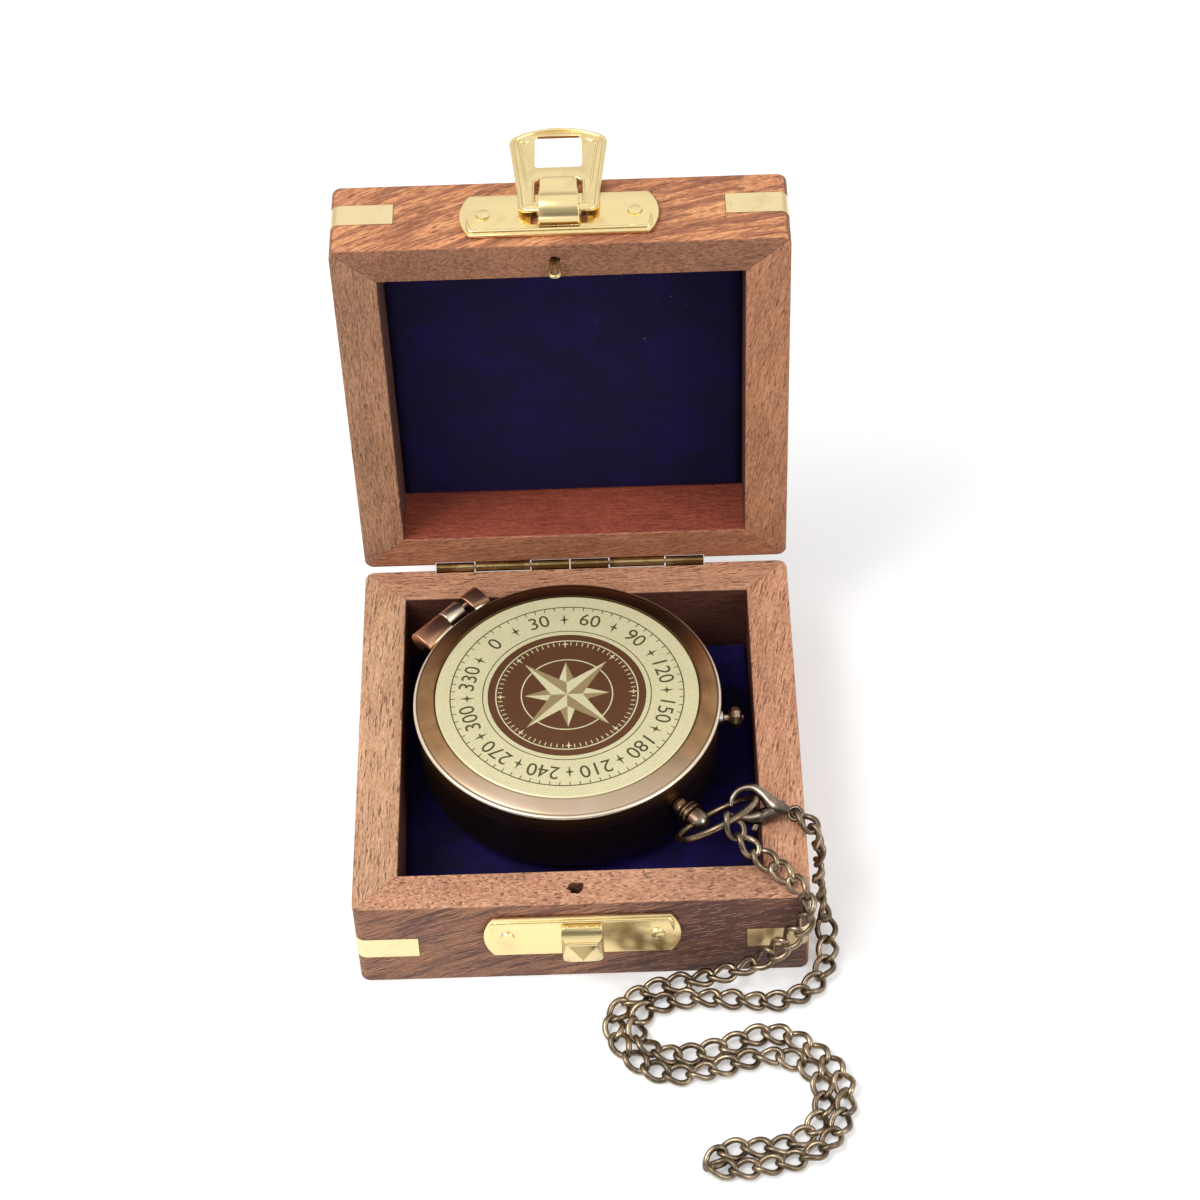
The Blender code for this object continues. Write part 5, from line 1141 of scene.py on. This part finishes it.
def browned_bronze(name, body, rubbed, bands, rough=0.24, front_reflection=None, copper=None):
    """Browned bronze: cloudy patina, with rubbed bands given as (radius, height, reach, strength)."""
    material, wire, place = surface(name)
    local, radius = from_middle(wire, place)
    cloud = speckle(wire, place, 95.0, 5.0, 0.6)
    grit = speckle(wire, place, 4200.0, 2.0)
    colour = cloud.ease(0.35, 0.7).mix(shade(body), shade(body, 0.62))
    # Painted reflection, where asked for: the top is lighter toward the front, where it faces the pale
    # room, and the whole back is darker, where it faces the dark lid.
    if front_reflection:
        front = (local[1] * -1.0).ease(0.012, 0.034) * local[2].ease(0.0224, 0.0227)
        front = front * (0.5 + 0.6 * cloud)
        colour = front.mix(colour, shade(front_reflection))
        colour = (local[1].ease(0.012, 0.032) * 0.8).mix(colour, shade(body, 0.4))
    if copper:
        colour = radius.ease(0.0362, 0.0367).mix(colour, shade(copper))
    bright = None
    for r, z, reach, strength in bands:
        gap = ((radius - r) ** 2.0 + (local[2] - z) ** 2.0) ** 0.5
        band = (1.0 - gap.ease(reach * 0.45, reach)) * strength
        bright = band if bright is None else wire.maths("MAXIMUM", bright, band)
    worn = bright * (0.7 + 0.5 * cloud)
    colour = wire.maths("MINIMUM", worn, 1.0).mix(colour, shade(rubbed))
    colour = (grit.ease(0.55, 0.85) * 0.25).mix(colour, shade(body, 0.45))
    bump = bumped(wire, 0.12, 0.00003, grit)
    roughness = rough + 0.14 * cloud - 0.06 * worn
    return metallic(material, wire, colour, roughness, bump)


case_rubbed = ((0.0352, 0.0163, 0.00022, 0.16), (0.0392, 0.0226, 0.0034, 0.9))
case_bronze = browned_bronze(
    "case_bronze", (0.2, 0.122, 0.08), (0.8, 0.68, 0.5), case_rubbed, 0.3
)
foot = [(r, z) for r, z in round_corner((0.0285, 0.0064), 0.0064, 0, -90, 15)]
case_profile = [
    (0, 0.002), (0.029, 0.002), (0.029, 0.0087), (0.031, 0.0087), (0.031, CASE_HIGH - 0.0003),
    (0.0313, CASE_HIGH),
]
case_profile += [
    (0.0349, CASE_HIGH), (0.03495, 0.0163), (0.0349, 0.016), (0.0349, 0.0154), (0.0349, 0.011),
    *foot, (0, 0),
]
cup = turned(case_profile)
sunk = COMPASS_PLACE @ Matrix.Rotation(math.radians(-45.3), 4, "Z") @ Matrix.Translation((0, 0, 0.0127))
lug = [(0.0344, 0.0097), (0.036, 0.0101), (0.0377, 0.0113), (0.0396, 0.0137), (0.0408, 0.0165)]
lug += round_corner((HINGE_REACH, HINGE_RISE), 0.0022, 0, 180, 25) + [
    (0.0363, 0.0179), (0.0363, 0.0161), (0.0344, 0.0157)
]
case = joined(placed(cup, COMPASS_PLACE), knuckle(lug, -0.0015, 0.0039))
piece("case_cup", case, case_bronze, "compass", ("compass_case",), 32)

# The dial: a printed card on the case's ledge with a degree scale and a rose, under a glass that a
# spacer and a sprung ring hold. A bevelled steel needle swings on a point, its north half blued.


def dial_card():
    """Off-white card with rings and degree strokes printed in near-black."""
    material, wire, place = surface("printed_card")
    local, radius = from_middle(wire, place)
    angle = wire.maths("ARCTAN2", local[1], local[0]) * (180 / math.pi) + 720.0

    def strokes(step, low, high, width):
        off = (wire.maths("FRACT", angle / step + 0.5) - 0.5).size() * (step * math.pi / 180)
        across = off * radius
        soft = 0.00003
        within = radius.ease(low - soft, low + soft) * (1.0 - radius.ease(high - soft, high + soft))
        return (1.0 - across.ease(width * 0.7, width * 1.3)) * within

    def ring(at, width):
        return 1.0 - (radius - at).size().ease(width * 0.7, width * 1.3)

    ink = wire.maths(
        "MAXIMUM", strokes(2.0, 0.0272, 0.0284, 0.00006), strokes(10.0, 0.0262, 0.0284, 0.00011)
    )
    for more in (ring(0.0286, 0.0001), ring(0.021, 0.00008), ring(0.0203, 0.00005)):
        ink = wire.maths("MAXIMUM", ink, more)
    paper = speckle(wire, place, 240.0, 4.0)
    colour = paper.ease(0.3, 0.7).mix((0.8, 0.77, 0.66, 1), (0.86, 0.84, 0.75, 1))
    colour = ink.mix(colour, (0.03, 0.03, 0.04, 1))
    return principled(material, wire, {"Base Color": colour, "Roughness": 0.42 + 0.2 * paper})


def printed(name, colour, metal=0.0, rough=0.45):
    """A flat printed or filled colour with a fine unevenness of its own."""
    material, wire, place = surface(name)
    fine = speckle(wire, place, 3800.0, 3.0)
    broad = speckle(wire, place, 160.0, 3.0)
    mixed = (fine.ease(0.25, 0.75) * 0.6 + broad * 0.3).mix(shade(colour, 0.8), shade(colour, 1.14))
    return principled(
        material, wire, {"Base Color": mixed, "Metallic": metal, "Roughness": rough + 0.12 * broad}
    )


def star_half(points, long, waist, turn, sign):
    """One side of each point of a compass star, as flat slivers."""
    bm = bmesh.new()
    for i in range(points):
        angle = turn + math.tau * i / points
        tip = Vector((math.cos(angle), math.sin(angle))) * long
        side = angle + sign * math.pi / points
        root = Vector((math.cos(side), math.sin(side))) * waist
        bm.faces.new([bm.verts.new((*p, 0)) for p in ((0, 0), tip, root)])
    return bm


PRINT_THICK = 0.00003


def thickened(bm, height):
    """A flat print given a hair's thickness, its underside at this height."""
    bmesh.ops.recalc_face_normals(bm, faces=bm.faces)
    top = bmesh.ops.extrude_face_region(bm, geom=bm.faces[:])["geom"]
    bmesh.ops.translate(bm, vec=(0, 0, PRINT_THICK), verts=only_verts(top))
    bmesh.ops.translate(bm, vec=(0, 0, height), verts=bm.verts)
    bmesh.ops.recalc_face_normals(bm, faces=bm.faces)
    return bm


def hoop(inner, outer, height):
    top = height + PRINT_THICK
    return turned([(inner, top), (outer, top), (outer, height), (inner, height)])


def figures(words, size, radius, turn):
    """Figures set round a circle, their feet to the middle; words are (text, degrees) pairs."""
    forms = []
    for text, degrees in words:
        curve = bpy.data.curves.new("figure", "FONT")
        curve.body = text
        curve.size = size
        curve.align_x = "CENTER"
        curve.align_y = "CENTER"
        curve.resolution_u = 4
        bm = curve_mesh(curve)
        bearing = turn - math.radians(degrees)
        place = Matrix.Rotation(bearing - math.pi / 2, 4, "Z") @ Matrix.Translation((0, radius, 0))
        forms.append(placed(bm, place))
    return joined(*forms)


CARD_TOP = 0.0098
card_ink = printed("card_ink", (0.03, 0.03, 0.04))
north = math.radians(90)
card_print = joined(
    thickened(figures([(str(d), d) for d in range(0, 360, 30)], 0.003, 0.0236, north), CARD_TOP),
    thickened(figures([("N", 0), ("E", 90), ("S", 180), ("W", 270)], 0.004, 0.0176, north), CARD_TOP),
    thickened(star_half(4, 0.0148, 0.0034, north, 1), CARD_TOP),
    thickened(star_half(4, 0.0098, 0.003, north + math.pi / 4, 1), CARD_TOP),
    hoop(0.0049, 0.0051, CARD_TOP),
)
dress("compass_card", dial_card())
piece("card_print", placed(card_print, COMPASS_PLACE), card_ink, "compass")


def clear_glass():
    """Flat glass with the faintest smears."""
    material, wire, place = surface("clear_glass")
    smear = speckle(wire, place, 120.0, 4.0, warp=1.0)
    inputs = {
        "Base Color": smear.mix((0.96, 0.98, 0.97, 1), (1, 1, 1, 1)), "Transmission Weight": 1.0,
        "IOR": 1.45,
    }
    return principled(material, wire, inputs | {"Roughness": 0.01 + 0.06 * smear.ease(0.55, 0.8)})


def blued_needle():
    """Bright steel whose north half is heat-blued, with a brass cup at the middle."""
    material, wire, place = surface("blued_needle")
    local, radius = from_middle(wire, place)
    grain = speckle(wire, place, 1800.0, 3.0)
    colour = local[0].ease(-0.0002, 0.0002).mix((0.6, 0.6, 0.6, 1), (0.03, 0.05, 0.19, 1))
    colour = (1.0 - radius.ease(0.0024, 0.0026)).mix(colour, (0.7, 0.52, 0.25, 1))
    return principled(
        material, wire, {"Base Color": colour, "Metallic": 1.0, "Roughness": 0.22 + 0.15 * grain}
    )


for node, finish in (
    ("compass_glass", clear_glass()),
    ("compass_needle", blued_needle()),
    ("compass_pivot", dull_steel),
    ("lid_catch", dull_steel),
    ("compass_hinge_pin", dull_steel),
    ("spacer_ring", old_brass),
    ("retaining_ring", old_brass),
):
    dress(node, finish)

# The compass's lid: a turned bronze cover with a rolled bead round its edge, rubbed to a bright line,
# and two knuckles that fold down to the hinge. A printed disc is let into its top.

# The fifth colour is painted reflection, the lighter front of the cover's top; its back is painted
# darker as well.
cover_bronze = browned_bronze(
    "cover_bronze",
    (0.42, 0.235, 0.108), (0.95, 0.84, 0.64),
    ((0.0354, 0.0223, 0.0007, 1.0), (0.0353, 0.0168, 0.00025, 0.16)),
    0.27,
    (0.62, 0.49, 0.36),
    (0.56, 0.29, 0.18),
)
SEAT = LID_HIGH - 0.001
bead = round_corner((0.035, 0.022), 0.0007, 112, -68, 13)
cover_profile = [
    (0, SEAT), (0.0308, SEAT), (0.0308, LID_HIGH - 0.00015), (0.0309, LID_HIGH),
    (0.0311, LID_HIGH - 0.00002), (0.0313, LID_HIGH - 0.00006),
]
cover_profile += [
    (0.033, LID_HIGH - 0.00048), (0.0342, LID_HIGH - 0.00078), (0.0344, LID_HIGH - 0.00086), *bead,
    (0.0352, 0.021), (0.0353, 0.0205), (0.0353, 0.0178),
]
cover_profile += [
    (0.0351, 0.0172), (0.035, LID_EDGE), (0.0342, LID_EDGE), (0.0342, 0.0206), (0.0332, 0.0216),
    (0, 0.0216),
]
cover = turned(cover_profile)
web = [(0.0345, 0.0213)] + round_corner((HINGE_REACH, HINGE_RISE), 0.0022, 180, 452, 33) + [
    (0.0366, 0.0231), (0.0352, 0.0226)
]
cover = joined(
    placed(cover, COMPASS_PLACE), knuckle(web, -0.0102, -0.0018), knuckle(web, 0.0055, 0.0102)
)
piece("cover_shell", cover, cover_bronze, "compass_cover", ("compass_lid",), 52)

# The lid's disc: brushed pale gold, its rings, degree figures and pointed stars filled in dark olive
# and a brown enamelled middle with a gold compass star. Its zero is toward the hinge.

TOP = HINGE_BEARING
disc_gold = printed("disc_gold", (0.84, 0.77, 0.46), 0.22, 0.34)
disc_olive = printed("disc_olive", (0.085, 0.068, 0.022), 0.0, 0.5)
disc_brown = printed("disc_brown", (0.155, 0.062, 0.026), 0.3, 0.36)
disc_dim = printed("disc_dim", (0.42, 0.31, 0.15), 0.3, 0.4)
DISC_RADIUS, DISC_THICK = 0.0305, 0.0007
disc_profile = [(0, LID_HIGH), (DISC_RADIUS - 0.0003, LID_HIGH), (DISC_RADIUS, LID_HIGH - 0.0002)]
disc_profile += [(DISC_RADIUS, LID_HIGH - DISC_THICK), (0, LID_HIGH - DISC_THICK)]
plain_disc = turned(disc_profile)
piece(
    "disc_plate", placed(plain_disc, COMPASS_PLACE), disc_gold, "compass_cover",
    ("compass_lid_disc",), 30,
)


def diamond(points, radius, long, wide, turn):
    """Small four-pointed stars with hollow sides, set round a circle."""
    bm = bmesh.new()
    for i in range(points):
        bearing = turn + math.tau * i / points
        middle = Vector((math.cos(bearing), math.sin(bearing))) * radius
        corners = []
        for k in range(8):
            angle = bearing + math.pi / 4 * k
            reach = (long if k % 4 == 0 else wide) if k % 2 == 0 else min(long, wide) * 0.34
            corners.append(
                bm.verts.new((*(middle + Vector((math.cos(angle), math.sin(angle))) * reach), 0))
            )
        bm.faces.new(corners)
    return bm


def strokes(count, inner, outer, width, turn, skip=0):
    """Radial strokes round a circle, every skip-th left out."""
    bm = bmesh.new()
    for i in range(count):
        if skip and i % skip == 0:
            continue
        bearing = turn + math.tau * i / count
        out, side = Vector((math.cos(bearing), math.sin(bearing))), Vector(
            (-math.sin(bearing), math.cos(bearing))
        ) * width / 2
        near, far = out * inner, out * outer
        bm.faces.new(
            [bm.verts.new((*p, 0)) for p in (near - side, far - side, far + side, near + side)]
        )
    return bm


olive_print = joined(
    hoop(0.02692, 0.02718, LID_HIGH),
    hoop(0.0194, 0.01962, LID_HIGH),
    thickened(figures([(str(d), d) for d in range(0, 360, 30)], 0.0052, 0.0231, TOP), LID_HIGH),
    thickened(diamond(12, 0.0231, 0.0017, 0.0011, TOP + math.radians(15)), LID_HIGH),
    thickened(strokes(72, 0.026, 0.0269, 0.0002, TOP), LID_HIGH),
)
piece("disc_figures", placed(olive_print, COMPASS_PLACE), disc_olive, "compass_cover")
star_high, ENAMEL_RADIUS = LID_HIGH + PRINT_THICK, 0.01835
enamel = turned([(0, star_high), (ENAMEL_RADIUS, star_high), (ENAMEL_RADIUS, LID_HIGH), (0, LID_HIGH)])
piece("disc_enamel", placed(enamel, COMPASS_PLACE), disc_brown, "compass_cover")
bright_star = joined(
    hoop(0.0163, 0.0166, star_high),
    thickened(strokes(72, 0.015, 0.016, 0.00022, TOP, 9), star_high),
    thickened(diamond(8, 0.0154, 0.0013, 0.0008, TOP), star_high),
    thickened(star_half(4, 0.0135, 0.0036, TOP, 1), star_high + PRINT_THICK),
    thickened(star_half(4, 0.0098, 0.0034, TOP + math.pi / 4, 1), star_high),
    hoop(0.0104, 0.0107, star_high - 0.00001),
)
piece(
    "disc_star_bright", placed(bright_star, COMPASS_PLACE), disc_gold, "compass_cover",
)
dim_star = joined(
    thickened(star_half(4, 0.0135, 0.0036, TOP, -1), star_high + PRINT_THICK),
    thickened(star_half(4, 0.0098, 0.0034, TOP + math.pi / 4, -1), star_high),
)
piece("disc_star_dim", placed(dim_star, COMPASS_PLACE), disc_dim, "compass_cover")

# The push button: a plated shaft in a short sleeve with a faceted bronze bulb and a small tip. It
# lets the lid go.

button_bronze = worn_bronze("button_bronze", (0.46, 0.32, 0.22), (0.86, 0.74, 0.6), 0.2, wear=0.85)
collar_plate = worn_bronze("collar_plate", (0.52, 0.47, 0.41), (0.88, 0.84, 0.78), 0.16, wear=0.8)
along_x = COMPASS_PLACE @ Matrix.Translation((0, 0, 0.0134)) @ Matrix.Rotation(math.radians(90), 4, "Y")
bulb = turned(
    [
        (0, 0.0409), (0.0006, 0.0409), (0.0008, 0.0407), (0.0008, 0.0405), (0.0016, 0.0405),
        (0.0024, 0.0399), (0.0027, 0.0392), (0.0027, 0.0387), (0.0024, 0.038),
        (0.0018, 0.0374), (0.0009, 0.0373), (0.0009, 0.0343), (0, 0.0343),
    ],
    10,
)
piece("button_bulb", placed(bulb, along_x), button_bronze, "button", ("push_button",), 20)
sleeve = turned(
    [
        (0.0011, 0.03625), (0.0015, 0.03625), (0.0018, 0.036), (0.0019, 0.0356), (0.0019, 0.0352),
        (0.0011, 0.0352),
    ],
    48,
)
piece(
    "button_collar", placed(sleeve, along_x), collar_plate, "compass",
    ("button_sleeve",), 30,
)

# The stem: turned bronze with a round neck, two raised ribs and a lighter rounded cup, cross-drilled
# for the bow.

stem_bronze = browned_bronze(
    "stem_bronze", (0.215, 0.135, 0.085), (0.62, 0.55, 0.45),
    ((0.0444, 0.0127, 0.0036, 0.85), (0.0366, 0.0132, 0.0012, 0.35)), 0.22,
)
stem_profile = [
    (0, 0.0442), (0.001, 0.04405), (0.0017, 0.0436), (0.00225, 0.043), (0.00255, 0.0422),
    (0.00265, 0.0412), (0.00262, 0.0402), (0.0024, 0.0399),
]
stem_profile += [
    (0.0031, 0.0398), (0.00325, 0.0396), (0.00325, 0.0394), (0.003, 0.0392), (0.00275, 0.0391),
    (0.00275, 0.0388), (0.003, 0.0387), (0.00325, 0.0385),
]
stem_profile += [
    (0.00325, 0.0382), (0.0029, 0.0379), (0.0021, 0.0376), (0.0019, 0.0372), (0.0019, 0.0366),
    (0.0021, 0.0362), (0.0023, 0.0359), (0.0023, 0.0352),
]
stem_profile += [(0.0015, 0.0352), (0.0015, 0.0325), (0, 0.0325)]
stem = placed(turned(stem_profile, 64), sunk @ Matrix.Rotation(math.radians(90), 4, "Y"))
rise = bow_up * 0.0003
bore = round_bar(BOW_HOLE + rise - bow_axis * 0.006, BOW_HOLE + rise + bow_axis * 0.006, 0.00095)
piece("stem_post", shaped(stem, [bore]), stem_bronze, "compass", ("bow_stem",), 32)
